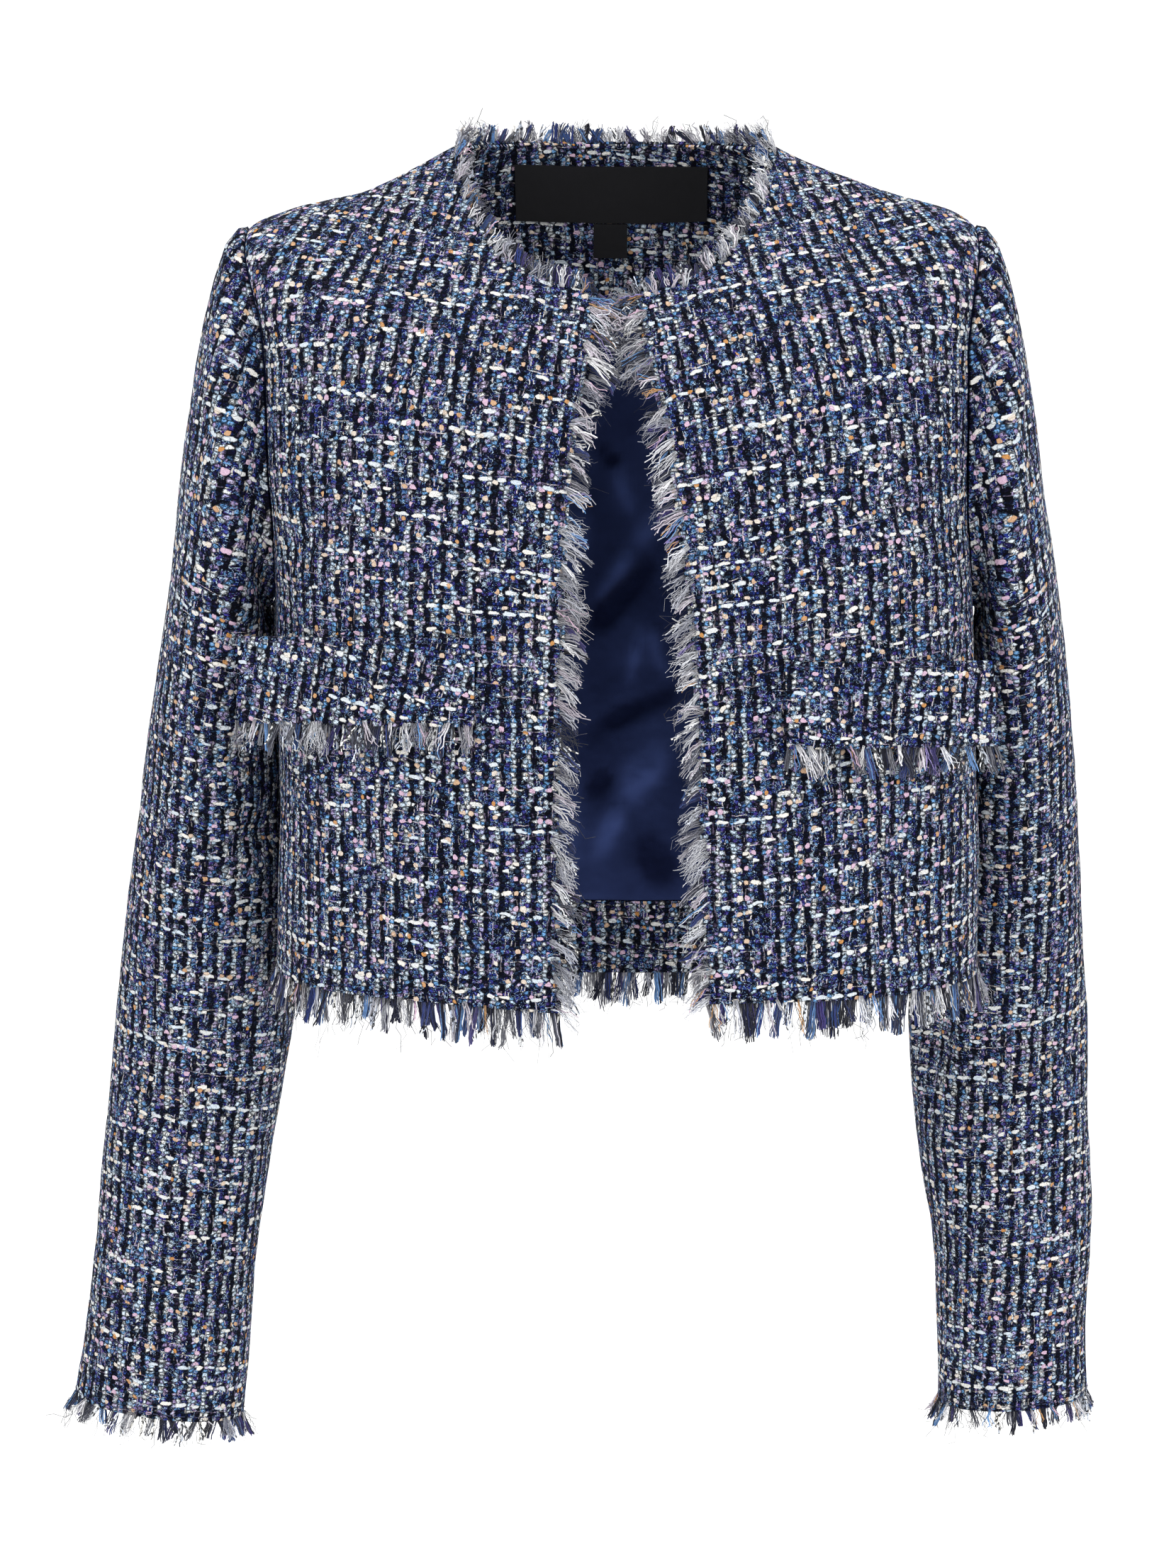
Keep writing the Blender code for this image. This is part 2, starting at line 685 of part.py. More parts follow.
def add_fringes(collection):
    for kind, row in (("neck", NECKLINE), ("hem", HEM)):
        for side in SIDES:
            edge = row_edge(row, front_turns(side, row))
            add_edge_fringe(kind + "_" + side, kind, edge, collection)
        add_edge_fringe(kind + "_back", kind, row_edge(row, back_turns(row)), collection)
    for side in SIDES:
        add_front_fringe(side, collection)
        add_cuff_fringe(side, collection)
    for flap in FLAPS:
        add_flap_fringe(flap, collection)


def main():
    for old in list(bpy.data.objects):
        bpy.data.objects.remove(old)
    jacket = bpy.data.collections.new("cropped_tweed_jacket")
    bpy.context.scene.collection.children.link(jacket)
    for side in SIDES:
        add_front(side, jacket)
    add_back(jacket)
    for side in SIDES:
        add_sleeve(side, jacket)
    for flap in FLAPS:
        add_flap(flap, jacket)
    add_inside(jacket)
    add_labels(jacket)
    add_fringes(jacket)


main()
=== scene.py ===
"""Looks of a cropped tweed jacket, worn shape with no wearer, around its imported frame.

The tables hold millimetres, hem to neckline and armhole to cuff, and repeat the solids' own form.
Meshes are in metres. +Z is up, the front faces -Y and +X is the wearer's left.
"""

import math
from collections import namedtuple

import bpy
import numpy as np
from bpy.props import FloatProperty, FloatVectorProperty, PointerProperty
from bpy.types import Operator, Panel, PropertyGroup
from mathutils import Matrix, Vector


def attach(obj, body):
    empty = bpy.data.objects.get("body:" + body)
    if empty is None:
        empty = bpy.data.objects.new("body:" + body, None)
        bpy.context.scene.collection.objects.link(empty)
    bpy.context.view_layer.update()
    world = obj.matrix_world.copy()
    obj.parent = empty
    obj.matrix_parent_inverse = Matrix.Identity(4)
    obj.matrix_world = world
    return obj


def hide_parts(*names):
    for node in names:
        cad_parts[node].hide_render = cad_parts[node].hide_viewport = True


bl_info = {
    "name": "Cropped Tweed Jacket",
    "version": (1, 0, 0),
    "blender": (4, 5, 0),
    "location": "3D View > Sidebar > Jacket",
    "description": "Dresses the jacket's frame in tweed, satin, ribbon and frayed edges",
    "category": "Add Mesh",
}

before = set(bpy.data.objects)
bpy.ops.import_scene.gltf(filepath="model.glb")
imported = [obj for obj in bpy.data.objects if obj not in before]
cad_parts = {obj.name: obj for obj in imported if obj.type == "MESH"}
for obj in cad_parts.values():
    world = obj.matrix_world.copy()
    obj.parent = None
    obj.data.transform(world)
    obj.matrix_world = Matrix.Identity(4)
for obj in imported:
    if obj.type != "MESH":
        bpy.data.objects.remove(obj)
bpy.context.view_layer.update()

MM = 0.001
SIDES = {"right": -1, "left": 1}

# The jacket's form

Section = namedtuple(
    "Section", "name half shift front back z_front z_side z_back square fall right_edge left_edge"
)
SECTIONS = [
    Section("hem", 183, 7, 112, 110, -434, -426, -446, 2.6, 0.8, -27.5, 45),
    Section("waist", 182, 7, 114, 111, -336, -334, -338, 2.7, 1.4, -28.5, 41.5),
    Section("underarm", 181, 5, 116, 112, -240, -238, -242, 2.8, 1.6, -25, 36),
    Section("chest", 182, 2, 114, 112, -185, -176, -189, 2.8, 1.6, -23.5, 28.5),
    Section("upper", 186, 0, 109, 109, -145, -98, -132, 2.5, 1.6, -19, 23),
    Section("shoulder_tip", 188, -2, 101, 101, -117, -43.5, -84, 2.15, 1.5, -13, 15.5),
    Section("shoulder_slope", 132, 4, 89, 84, -97, -24, -36, 2.1, 1.25, -10, 11.5),
    Section("neckline", 80, -1, 76, 62, -79, 0, 4, 2.1, 1.0, -8.5, 9),
]
HEM, UNDERARM, SHOULDER_TIP, NECKLINE = 0, 2, 5, 7
ARMHOLE_MIDDLE = (UNDERARM + SHOULDER_TIP) / 2
ARMHOLE_HALF = (SHOULDER_TIP - UNDERARM) / 2
ARMHOLE_FRONT_TURN = 12.5
ARMHOLE_BACK_TURN = 17

Droop = namedtuple("Droop", "depth turn spread top_row")
CORNER_DROOP = Droop(5.0, -16, 22, 2)

Cut = namedtuple("Cut", "name outer_x outer_z inner_x inner_z y depth own")
RIGHT_SLEEVE = [
    Cut("head", -200, -44, -180, -241, 3, 50, 0.4),
    Cut("cap", -207, -62, -182, -246, 5, 56, 0.8),
    Cut("upper_arm", -217, -113, -180, -253, 9, 61, 1.0),
    Cut("biceps", -227, -177, -178, -265, 15, 63, 1.0),
    Cut("above_elbow", -237, -245, -177, -288, 25, 60, 1.0),
    Cut("elbow", -248, -318, -174, -336, 36, 56, 1.0),
    Cut("forearm", -259, -398, -171, -406, 45, 52, 1.0),
    Cut("below_hem", -267, -462, -172, -466, 51, 48, 1.0),
    Cut("crook", -274, -530, -184, -532, 54, 46, 1.0),
    Cut("lower_arm", -280, -580, -192, -582, 55, 44, 1.0),
    Cut("wrist", -286, -635, -197.5, -638, 56, 42, 1.0),
    Cut("cuff", -291, -668, -202, -680, 57, 42, 1.0),
]
LEFT_SLEEVE = [
    Cut("head", 197, -44, 187, -241, 3, 50, 0.4),
    Cut("cap", 204.5, -63, 190, -246, 6, 56, 0.8),
    Cut("upper_arm", 214.5, -113, 189, -253, 12, 61, 1.0),
    Cut("biceps", 223.5, -177, 188, -266, 22, 63, 1.0),
    Cut("above_elbow", 236, -245, 186, -290, 38, 60, 1.0),
    Cut("elbow", 246, -318, 180, -336, 58, 55, 1.0),
    Cut("forearm", 253, -398, 167, -406, 77, 51, 1.0),
    Cut("below_hem", 256.5, -462, 160, -466, 87, 48, 1.0),
    Cut("crook", 259, -530, 166, -532, 93, 46, 1.0),
    Cut("lower_arm", 261, -580, 175, -582, 95, 44, 1.0),
    Cut("wrist", 260, -635, 179, -638, 97, 42, 1.0),
    Cut("cuff", 261, -676, 180, -682, 98, 42, 1.0),
]
SLEEVES = {"right": RIGHT_SLEEVE, "left": LEFT_SLEEVE}
STOPS_PER_CUT = 2
SLEEVE_CLEARANCE = 2.0
SLEEVE_LEAN = {"middle": 35, "swing": 35}
SLEEVE_FIRST_STEP = 1.5
SLEEVE_START_STEP = 5.0

Flap = namedtuple("Flap", "side inner_x outer_x inner_top outer_top height leave_x")
FLAPS = {
    "right": Flap("right", -70, -199, -250, -252, 44, 130),
    "left": Flap("left", 84, 197, -262, -264, 43, 138),
}
FLAP_CLOTH = 2.8
FLAP_GAP = 0.8
FLAP_STAND_OFF, FLAP_CURL, FLAP_TURN = 4.0, 1.5, 0.5
FLAP_LEAN = {"right": -8, "left": 8}

CLOTH = 2.4
SEAM = 0.3
FACING_GAP = 0.7
FACING_CLOTH = 1.6
LINING_CLOTH = 1.0
LINING_HANG = 2.6
HEM_FACING_TOP = -393
INSIDE_TRIM = 0.03
NECK_FACING_ROWS, HEM_FACING_ROWS = 31, 8
LINING_ROW_TRIM = 0.004

Label = namedtuple("Label", "node x top width height lift")
LABELS = [
    Label("label_main", -1.5, -6.5, 102, 30, 0.0),
    Label("label_size", -2, -36.8, 18, 18, 0.4),
]
LABEL_CLOTH = 0.8
LABEL_GAP = 0.5
LABEL_ROWS, LABEL_COLUMNS = 12, 41
LABEL_TURNS = (110, 250)

# A crease runs between two places of its piece, as a trough where depth is negative. On the body a
# place is a turn and a row, on a sleeve an angle from the top, forward, and a cut.
Crease = namedtuple("Crease", "start end width depth")
FRONT_CREASES = {
    "right": [
        Crease((-70, 2.35), (-52, 3.3), 9, -2.2),
        Crease((-74, 2.1), (-60, 1.4), 11, -1.8),
        Crease((-38, 4.4), (-58, 5.2), 12, -1.4),
        Crease((-30, 0.2), (-36, 1.5), 16, 2.4),
        Crease((-60, 0.0), (-57, 1.2), 15, -2.2),
        Crease((-18, 2.6), (-30, 3.6), 14, 1.6),
        Crease((-93, 1.5), (-90, 2.35), 13, 3.5),
    ],
    "left": [
        Crease((71, 2.4), (50, 3.2), 9, -2.4),
        Crease((75, 2.0), (64, 1.2), 10, -2.0),
        Crease((36, 4.5), (55, 5.3), 12, -1.3),
        Crease((34, 0.1), (42, 1.4), 15, 2.2),
        Crease((62, 0.0), (60, 1.0), 14, -2.4),
        Crease((28, 2.2), (34, 3.4), 13, 1.5),
    ],
}
BACK_CREASES = [
    Crease((108, 2.3), (128, 3.1), 10, -2.4),
    Crease((251, 2.4), (232, 3.2), 10, -2.2),
    Crease((104, 1.7), (122, 0.9), 12, -2.0),
    Crease((256, 1.8), (240, 1.1), 11, -2.2),
    Crease((150, 0.0), (146, 1.6), 18, 2.6),
    Crease((176, 0.0), (179, 1.3), 17, -2.4),
    Crease((207, 0.0), (204, 1.7), 18, 2.4),
    Crease((130, 0.0), (131, 1.0), 13, -2.0),
    Crease((230, 0.0), (232, 1.2), 14, -2.0),
    Crease((160, 4.4), (196, 4.6), 14, -1.4),
]
SLEEVE_CREASES = {
    "right": [
        Crease((150, 3.2), (75, 3.9), 10, -3.0),
        Crease((172, 4.5), (88, 4.9), 9, -3.6),
        Crease((168, 5.2), (98, 5.5), 9, -3.0),
        Crease((200, 4.0), (268, 4.5), 10, -3.2),
        Crease((196, 5.0), (262, 5.2), 9, -3.4),
        Crease((70, 1.6), (30, 2.9), 12, -1.8),
        Crease((300, 1.4), (335, 2.8), 12, -2.0),
        Crease((110, 7.2), (60, 7.9), 11, -2.0),
        Crease((250, 7.0), (300, 7.6), 11, -2.2),
        Crease((100, 9.4), (50, 9.9), 10, -1.6),
        Crease((20, 5.4), (60, 6.8), 14, 1.8),
        Crease((178, 0.1), (174, 2.8), 12, 3.4),
    ],
    "left": [
        Crease((145, 3.3), (72, 3.8), 10, -3.0),
        Crease((170, 4.6), (84, 5.1), 9, -3.8),
        Crease((166, 5.4), (94, 5.9), 9, -3.2),
        Crease((202, 4.2), (270, 4.5), 10, -3.0),
        Crease((194, 5.3), (264, 5.5), 9, -3.6),
        Crease((66, 1.7), (28, 3.0), 12, -2.0),
        Crease((296, 1.5), (330, 2.7), 12, -1.8),
        Crease((108, 7.5), (58, 8.0), 11, -2.2),
        Crease((254, 7.3), (304, 8.0), 11, -2.0),
        Crease((96, 9.6), (48, 10.2), 10, -1.8),
        Crease((16, 5.2), (56, 6.5), 14, 1.8),
        Crease((178, 0.5), (174, 2.6), 12, 2.8),
    ],
}
LINING_CREASES = [
    Crease((180, 3.34), (176, 2.9), 4.5, 3.6),
    Crease((185, 3.5), (179, 3.36), 3, -2.6),
    Crease((167, 3.0), (177.5, 2.47), 6, 3.2),
    Crease((176, 2.52), (187, 2.0), 5, 3.2),
    Crease((170, 2.36), (189, 1.78), 6, -3.6),
    Crease((175, 1.88), (178.8, 1.5), 3.5, 3.2),
    Crease((173, 1.84), (169, 1.56), 3.5, 2.8),
    Crease((165, 1.45), (188, 1.26), 5, -3.8),
    Crease((168, 1.22), (182.6, 0.83), 8, 4.6),
    Crease((181.5, 0.86), (188.6, 0.58), 6, 4.0),
    Crease((191, 0.9), (184.5, 1.03), 5, -2.8),
    Crease((177, 0.72), (167, 0.42), 8, -3.2),
    Crease((190, 3.0), (196, 2.1), 7, 3.6),
    Crease((132, 0.5), (158, 2.4), 9, 5.0),
    Crease((146, 0.3), (160, 1.3), 6, 3.5),
    Crease((150, 2.4), (164, 3.9), 8, 4.0),
    Crease((196, 0.6), (222, 2.6), 9, 5.0),
    Crease((194, 3.2), (206, 1.6), 7, 4.0),
    Crease((215, 0.3), (228, 1.4), 8, 4.0),
    Crease((118, 0.6), (130, 2.2), 9, 4.5),
    Crease((240, 0.8), (232, 2.6), 9, 4.5),
]
CREASE_STEPS = 28
CREASE_TIP, CREASE_SWELL = 0.02, 0.7
CREASE_WAVER, CREASE_WAVES, CREASE_SHIFT = 0.3, 7.3, 2.1

Ripple = namedtuple("Ripple", "length depth seed")
CLOTH_RIPPLES = [Ripple(95, 0.8, 3), Ripple(41, 0.35, 8), Ripple(17, 0.14, 21)]
LINING_RIPPLES = [Ripple(60, 1.2, 5), Ripple(26, 0.5, 14)]
# A fold this high or deep has the lining's palest painted light or darkest painted shade.
FULL_FOLD = 3.5
WAVES = 5

# Satin covers a front's inner side beyond its facing and between these rows, and a sleeve's above
# its cuff.
FACING_WIDTH = 62
LINED_FROM_ROW, LINED_TO_ROW = 0.18, 6.4
CUFF_FACING = 28

STITCH_INSET = 2.6
STITCH_PITCH = 1.5
ROOT_DEPTH, EDGE_TIP = 0.6, 0.2
UP = np.array([0, 0, 1])
FRINGE_MEETS = 3.0
# The fronts' fringes tangle over the top of the opening: how often there is one more lock, how
# much longer its strands are, the row from which they pass the middle, and by how much.
TANGLE_EVERY, TANGLE_REACH = 1.9, 1.35
TANGLE_ROW, TANGLE_MEETS = 5.8, 5.0
TANGLE_SHARES = (0.08, 0.16, 0.26, 0.08, 0.16, 0.12, 0.14)
# The share of a lock's strands that have its second colour.
OTHER_COLOR = 0.3

CAMERA_RISE = 5
CAMERA_TARGET = (-14, 0, -333)
FLOOR_HEIGHT = -1.25
FLOOR_FRONT, FLOOR_BACK, FLOOR_BEND, FLOOR_TOP, FLOOR_HALF = -6.0, 2.0, 2.5, 5.0, 8.0
FLOOR_STEPS = 24
SENSOR_WIDTH = 36
WORLD_STRENGTH = 0.95

NORMAL_TURN = 3
NORMAL_ROW = 0.02
SEARCH_STEPS = 80
WIDEST = 0.999


def curve_at(values, slopes, index, part):
    """A smooth curve through values, read a part of the way from one of them to the next."""
    square, cube = part**2, part**3
    return (
        values[index] * (2 * cube - 3 * square + 1)
        + slopes[index] * (cube - 2 * square + part)
        + values[index + 1] * (3 * square - 2 * cube)
        + slopes[index + 1] * (cube - square)
    )


def column_at(table, column, places):
    """A table's column read at places between its rows, on a smooth curve through them."""
    values = np.array([getattr(line, column) for line in table], float)
    places = np.clip(places, 0, len(values) - 1)
    index = np.minimum(np.asarray(places).astype(int), len(values) - 2)
    return curve_at(values, np.gradient(values), index, places - index)


def body(column, rows):
    return column_at(SECTIONS, column, rows)


def unit(vectors):
    return vectors / np.linalg.norm(vectors, axis=-1, keepdims=True)


def between(first, second, share):
    return first + (second - first) * share


def corner_droop(rows, turns):
    """How much lower the cloth hangs near the right front's lower corner."""
    turned = (turns + 180) % 360 - 180
    near = np.exp(-(((turned - CORNER_DROOP.turn) / CORNER_DROOP.spread) ** 2))
    return CORNER_DROOP.depth * near * np.maximum(0, 1 - rows / CORNER_DROOP.top_row) ** 2


def body_points(rows, turns):
    """The body's outer surface at rows and turns, in degrees from the centre front to the left."""
    rows, turns = np.broadcast_arrays(np.asarray(rows, float), np.asarray(turns, float))
    across, along = np.sin(np.radians(turns)), np.cos(np.radians(turns))
    depth = np.where(along > 0, body("front", rows), body("back", rows))
    middle = np.where(along > 0, body("z_front", rows), body("z_back", rows))
    power = body("square", rows)
    reach = np.abs(across / body("half", rows)) ** power + np.abs(along / depth) ** power
    reach = reach ** (-1 / power)
    share = np.abs(reach * along / depth) ** body("fall", rows)
    side = body("z_side", rows)
    height = side + (middle - side) * share - corner_droop(rows, turns)
    return np.stack([body("shift", rows) + reach * across, -reach * along, height], axis=-1)


def body_normals(rows, turns):
    """Directions out of the body, square to its surface."""
    low, high = np.maximum(rows - NORMAL_ROW, HEM), np.minimum(rows + NORMAL_ROW, NECKLINE)
    along = body_points(high, turns) - body_points(low, turns)
    across = body_points(rows, turns + NORMAL_TURN) - body_points(rows, turns - NORMAL_TURN)
    return unit(np.cross(across, along))


def turn_at(rows, x):
    """The turns where the front of the sections at these rows has this X."""
    across = np.minimum(np.abs(x - body("shift", rows)) / body("half", rows), WIDEST)
    power = body("square", rows)
    depth = body("front", rows) * (1 - across**power) ** (1 / power)
    return np.degrees(np.arctan2(x - body("shift", rows), depth))


def row_at(heights, column="z_side", low=HEM, high=UNDERARM):
    """The row, between two, whose side or centre back has this height."""
    rows = np.linspace(low, high, SEARCH_STEPS)
    return np.interp(heights, body(column, rows), rows)


def armhole_turn(rows, reach):
    """How far the armhole lies from the side at each row, with its greatest reach given."""
    return reach * np.sqrt(np.maximum(0, 1 - ((rows - ARMHOLE_MIDDLE) / ARMHOLE_HALF) ** 2))


def seam_turn(rows):
    """Half a seam's gap at the side, as a turn."""
    return np.degrees(SEAM / 2 / body("half", rows))


# Pieces of cloth as two grids of points, with their place on the uncut cloth

Skins = namedtuple("Skins", "outer inner weave")
Edge = namedtuple("Edge", "points outs ups ring")

GRID = 4.0
HEM_TO_UNDERARM, ARMHOLE_LENGTH, SHOULDER_LENGTH = 196, 190, 118
FRONT_ACROSS, BACK_ACROSS, SLEEVE_AROUND = 230, 500, 240
# Distances of the first columns from an edge, where the outer skin rounds down into it.
EDGE_COLUMNS = (0, 0.7, 1.6, 3.0)
SEAM_DIP, FREE_DIP = 1.0, 0.6
DIP_WIDTH = 1.6
SLEEVE_BLEND = 8.0


def fine_rows():
    """Rows of a body panel. In the armhole they are close at its top and bottom."""
    low = np.linspace(HEM, UNDERARM, round(HEM_TO_UNDERARM / GRID) + 1)
    steps = round(ARMHOLE_LENGTH / GRID)
    angles = np.pi * np.arange(1, steps) / steps
    armhole = ARMHOLE_MIDDLE - ARMHOLE_HALF * np.cos(angles)
    high = np.linspace(SHOULDER_TIP, NECKLINE, round(SHOULDER_LENGTH / GRID) + 1)
    return np.concatenate([low, armhole, high])


def column_shares(length):
    """Shares of a row for the columns, closer beside both ends."""
    near = np.array(EDGE_COLUMNS) / length
    middle = np.linspace(near[-1], 1 - near[-1], round(length / GRID) + 1)[1:-1]
    return np.concatenate([near, middle, 1 - near[::-1]])


def front_places(side):
    """Rows and turns of a front, from its front edge to the side seam, armhole and shoulder."""
    rows = fine_rows()[:, None]
    start = turn_at(rows, body(side + "_edge", rows))
    end = SIDES[side] * (90 - seam_turn(rows) - armhole_turn(rows, ARMHOLE_FRONT_TURN))
    return rows, between(start, end, column_shares(FRONT_ACROSS))


def back_places(rows, trim=0.0):
    """Rows and turns of the back, from the left seams round to the right ones."""
    rows = rows[:, None]
    start = 90 + seam_turn(rows) + armhole_turn(rows, ARMHOLE_BACK_TURN)
    return rows, between(start, 360 - start, trim + (1 - 2 * trim) * column_shares(BACK_ACROSS))


def crease_lift(points, creases, path_of):
    """How far creases lift each point, deepest along the middle of each crease."""
    lift = np.zeros(points.shape[:-1])
    share = np.linspace(0, 1, CREASE_STEPS)
    for number, crease in enumerate(creases):
        path = path_of(*(between(a, b, share) for a, b in zip(crease.start, crease.end)))
        apart = np.linalg.norm(points[..., None, :] - path, axis=-1)
        along = share[apart.argmin(axis=-1)]
        swell = np.sin(np.pi * np.clip(along, CREASE_TIP, 1 - CREASE_TIP)) ** CREASE_SWELL
        swell *= 1 + CREASE_WAVER * np.sin(CREASE_WAVES * along + CREASE_SHIFT * number)
        lift += crease.depth * swell * np.exp(-((apart.min(axis=-1) / crease.width) ** 2))
    return lift


def ripple_lift(points, ripples):
    """A soft unevenness over the cloth, in crossed waves of several lengths."""
    lift = np.zeros(points.shape[:-1])
    for ripple in ripples:
        rng = np.random.default_rng(ripple.seed)
        for way in unit(rng.normal(size=(WAVES, 3))):
            wave = np.sin(points @ way * 2 * np.pi / ripple.length + rng.uniform(0, 6))
            lift += ripple.depth * 2 / WAVES * wave
    return lift


def body_lift(rows, turns):
    """How far creases and ripples lift the body's cloth at rows and turns."""
    points = body_points(rows, turns)
    creases = [*FRONT_CREASES["right"], *FRONT_CREASES["left"], *BACK_CREASES]
    lift = crease_lift(points, creases, lambda turn, row: body_points(row, turn))
    return lift + ripple_lift(points, CLOTH_RIPPLES)


def lengths_along(grid, axis):
    """Distances along a grid's axis from its first line."""
    steps = np.linalg.norm(np.diff(grid, axis=axis), axis=-1)
    pad = [(1, 0), (0, 0)] if axis == 0 else [(0, 0), (1, 0)]
    return np.cumsum(np.pad(steps, pad), axis=axis)


def dip(distance, depth):
    """How far the outer skin sinks at a distance from an edge."""
    return -depth * np.exp(-((distance / DIP_WIDTH) ** 2))


def body_skins(places, start_dip, depth=0.0, wall=CLOTH):
    """The two skins of a piece that lies on the body, or this deep inside it."""
    rows, turns = places
    base, normals = body_points(rows, turns), body_normals(rows, turns)
    across = lengths_along(base, 1)
    edges = dip(across, start_dip) + dip(across[:, -1:] - across, SEAM_DIP)
    lift = body_lift(rows, turns)[..., None]
    outer = base + normals * (lift - depth + edges[..., None])
    return outer, base + normals * (lift - depth - wall)


def grid_faces(rows, columns):
    """Corners of a grid's quads, as numbers of its points."""
    first = (np.arange(rows - 1)[:, None] * columns + np.arange(columns - 1)).reshape(-1)
    return np.stack([first, first + 1, first + 1 + columns, first + columns], axis=1)


def placed(name, data):
    """An object that bears this data, in the scene."""
    thing = bpy.data.objects.new(name, data)
    bpy.context.scene.collection.objects.link(thing)
    return thing


def unwrapped(points, faces):
    """Places of a mesh's points once Blender has laid it flat, at no particular size."""
    data = bpy.data.meshes.new("pattern")
    data.from_pydata(points, [], faces)
    data.uv_layers.new(name="flat")
    pattern = placed("pattern", data)
    bpy.context.view_layer.objects.active = pattern
    bpy.ops.object.mode_set(mode="EDIT")
    bpy.ops.mesh.select_all(action="SELECT")
    bpy.ops.uv.unwrap(method="ANGLE_BASED", margin=0)
    bpy.ops.object.mode_set(mode="OBJECT")
    found = np.empty(len(data.loops) * 2, np.float32)
    data.uv_layers["flat"].uv.foreach_get("vector", found)
    flat = np.empty((len(points), 2))
    flat[faces.reshape(-1)] = found.reshape(-1, 2)
    bpy.data.objects.remove(pattern)
    bpy.data.meshes.remove(data)
    return flat


def diagonals(points, faces):
    """The two diagonals of each quad. Their cross product is twice its area."""
    return points[faces[:, 2]] - points[faces[:, 0]], points[faces[:, 3]] - points[faces[:, 1]]


def flat_area(flat, faces):
    """The area of a flat grid's quads."""
    first, second = diagonals(flat, faces)
    return np.abs(first[:, 0] * second[:, 1] - first[:, 1] * second[:, 0]).sum() / 2


def flatten(grid, guide, lean=0.0):
    """Lays an open grid flat, with a guide column upright or leaning: places in metres."""
    rows, columns = grid.shape[:2]
    points, faces = grid.reshape(-1, 3) * MM, grid_faces(rows, columns)
    flat = unwrapped(points, faces)
    ends = flat.reshape(rows, columns, 2)[[0, -1], guide]
    turned = math.atan2(*(ends[1] - ends[0])) + math.radians(lean)
    cosine, sine = math.cos(turned), math.sin(turned)
    flat = flat @ np.array([[cosine, sine], [-sine, cosine]])
    area = np.linalg.norm(np.cross(*diagonals(points, faces)), axis=1).sum() / 2
    flat *= math.sqrt(area / flat_area(flat, faces))
    return (flat - flat[0]).reshape(rows, columns, 2)


def front_skins(side):
    outer, inner = body_skins(front_places(side), FREE_DIP)
    return Skins(outer, inner, flatten(inner, 0))


def back_skins():
    outer, inner = body_skins(back_places(fine_rows()), SEAM_DIP)
    return Skins(outer, inner, flatten(inner, inner.shape[1] // 2))


def clear_of_body(points):
    """Moves points that lie inside the body's section, or too near it, straight out of it."""
    rows = row_at(points[..., 2])
    across = points[..., 0] - body("shift", rows)
    depth = np.where(points[..., 1] < 0, body("front", rows), body("back", rows))
    power = body("square", rows)
    share = np.abs(across / (body("half", rows) + SLEEVE_CLEARANCE)) ** power
    share += np.abs(points[..., 1] / (depth + SLEEVE_CLEARANCE)) ** power
    inside = (share < 1) & (points[..., 2] <= body("z_side", UNDERARM))
    grow = np.where(inside, share ** (-1 / power), 1)
    moved = [body("shift", rows) + across * grow, points[..., 1] * grow, points[..., 2]]
    return np.where(inside[..., None], np.stack(moved, axis=-1), points)


def sleeve_start(side, angles):
    """Where the sleeve's inner skin starts, the way it leaves the seam, and its wall's own way."""
    reach = np.where(np.sin(angles) >= 0, ARMHOLE_FRONT_TURN, ARMHOLE_BACK_TURN)
    rows = ARMHOLE_MIDDLE + ARMHOLE_HALF * np.cos(angles)
    turns = SIDES[side] * (90 - reach * np.sin(angles))
    normals = body_normals(rows, turns)
    loop = body_points(rows, turns) + normals * body_lift(rows, turns)[:, None]
    away = unit(np.cross(normals, unit(np.roll(loop, -1, axis=0) - np.roll(loop, 1, axis=0))))
    away *= np.sign(np.sum(away * (loop - loop.mean(axis=0)), axis=1, keepdims=True))
    lean = np.radians(SLEEVE_LEAN["middle"] + SLEEVE_LEAN["swing"] * np.cos(angles))[:, None]
    leaves = normals * np.cos(lean) - away * np.sin(lean)
    through = away * np.cos(lean) + normals * np.sin(lean)
    return loop + SEAM * leaves, leaves, through


def sleeve_stops(side, angles):
    """Rings of the sleeve's outer skin at its cuts and halfway between them, and its start."""
    start, leaves, through = sleeve_start(side, angles)
    stops = [start + CLOTH * through]
    stops.append(stops[0] + SLEEVE_FIRST_STEP * leaves)
    first = stops[0] + SLEEVE_START_STEP * leaves
    table = SLEEVES[side]
    for step in range((len(table) - 1) * STOPS_PER_CUT + 1):
        cut = {name: column_at(table, name, step / STOPS_PER_CUT) for name in Cut._fields[1:]}
        outer = np.array([cut["outer_x"], cut["y"], cut["outer_z"]])
        inner = np.array([cut["inner_x"], cut["y"], cut["inner_z"]])
        own = (outer + inner) / 2 + (outer - inner) / 2 * np.cos(angles)[:, None]
        own[:, 1] -= cut["depth"] * np.sin(angles)
        stops.append(clear_of_body(between(first, own, min(cut["own"], 1.0))))
    return np.array(stops), start


def rings_at(stops, places):
    """Rings of a sleeve at places between its stops, on smooth curves through them."""
    index = np.minimum(places.astype(int), len(stops) - 2)
    slopes = np.gradient(stops, axis=0)
    slopes[0] = slopes[1] = stops[1] - stops[0]
    return curve_at(stops, slopes, index, (places - index)[:, None, None])


def tube_normals(grid):
    """Normals of a tube's grid, pointing out of the tube."""
    around = np.roll(grid, -1, axis=1) - np.roll(grid, 1, axis=1)
    normals = unit(np.cross(around, np.gradient(grid, axis=0)))
    outward = grid - grid.mean(axis=1, keepdims=True)
    return normals * np.sign(np.sum(normals * outward))


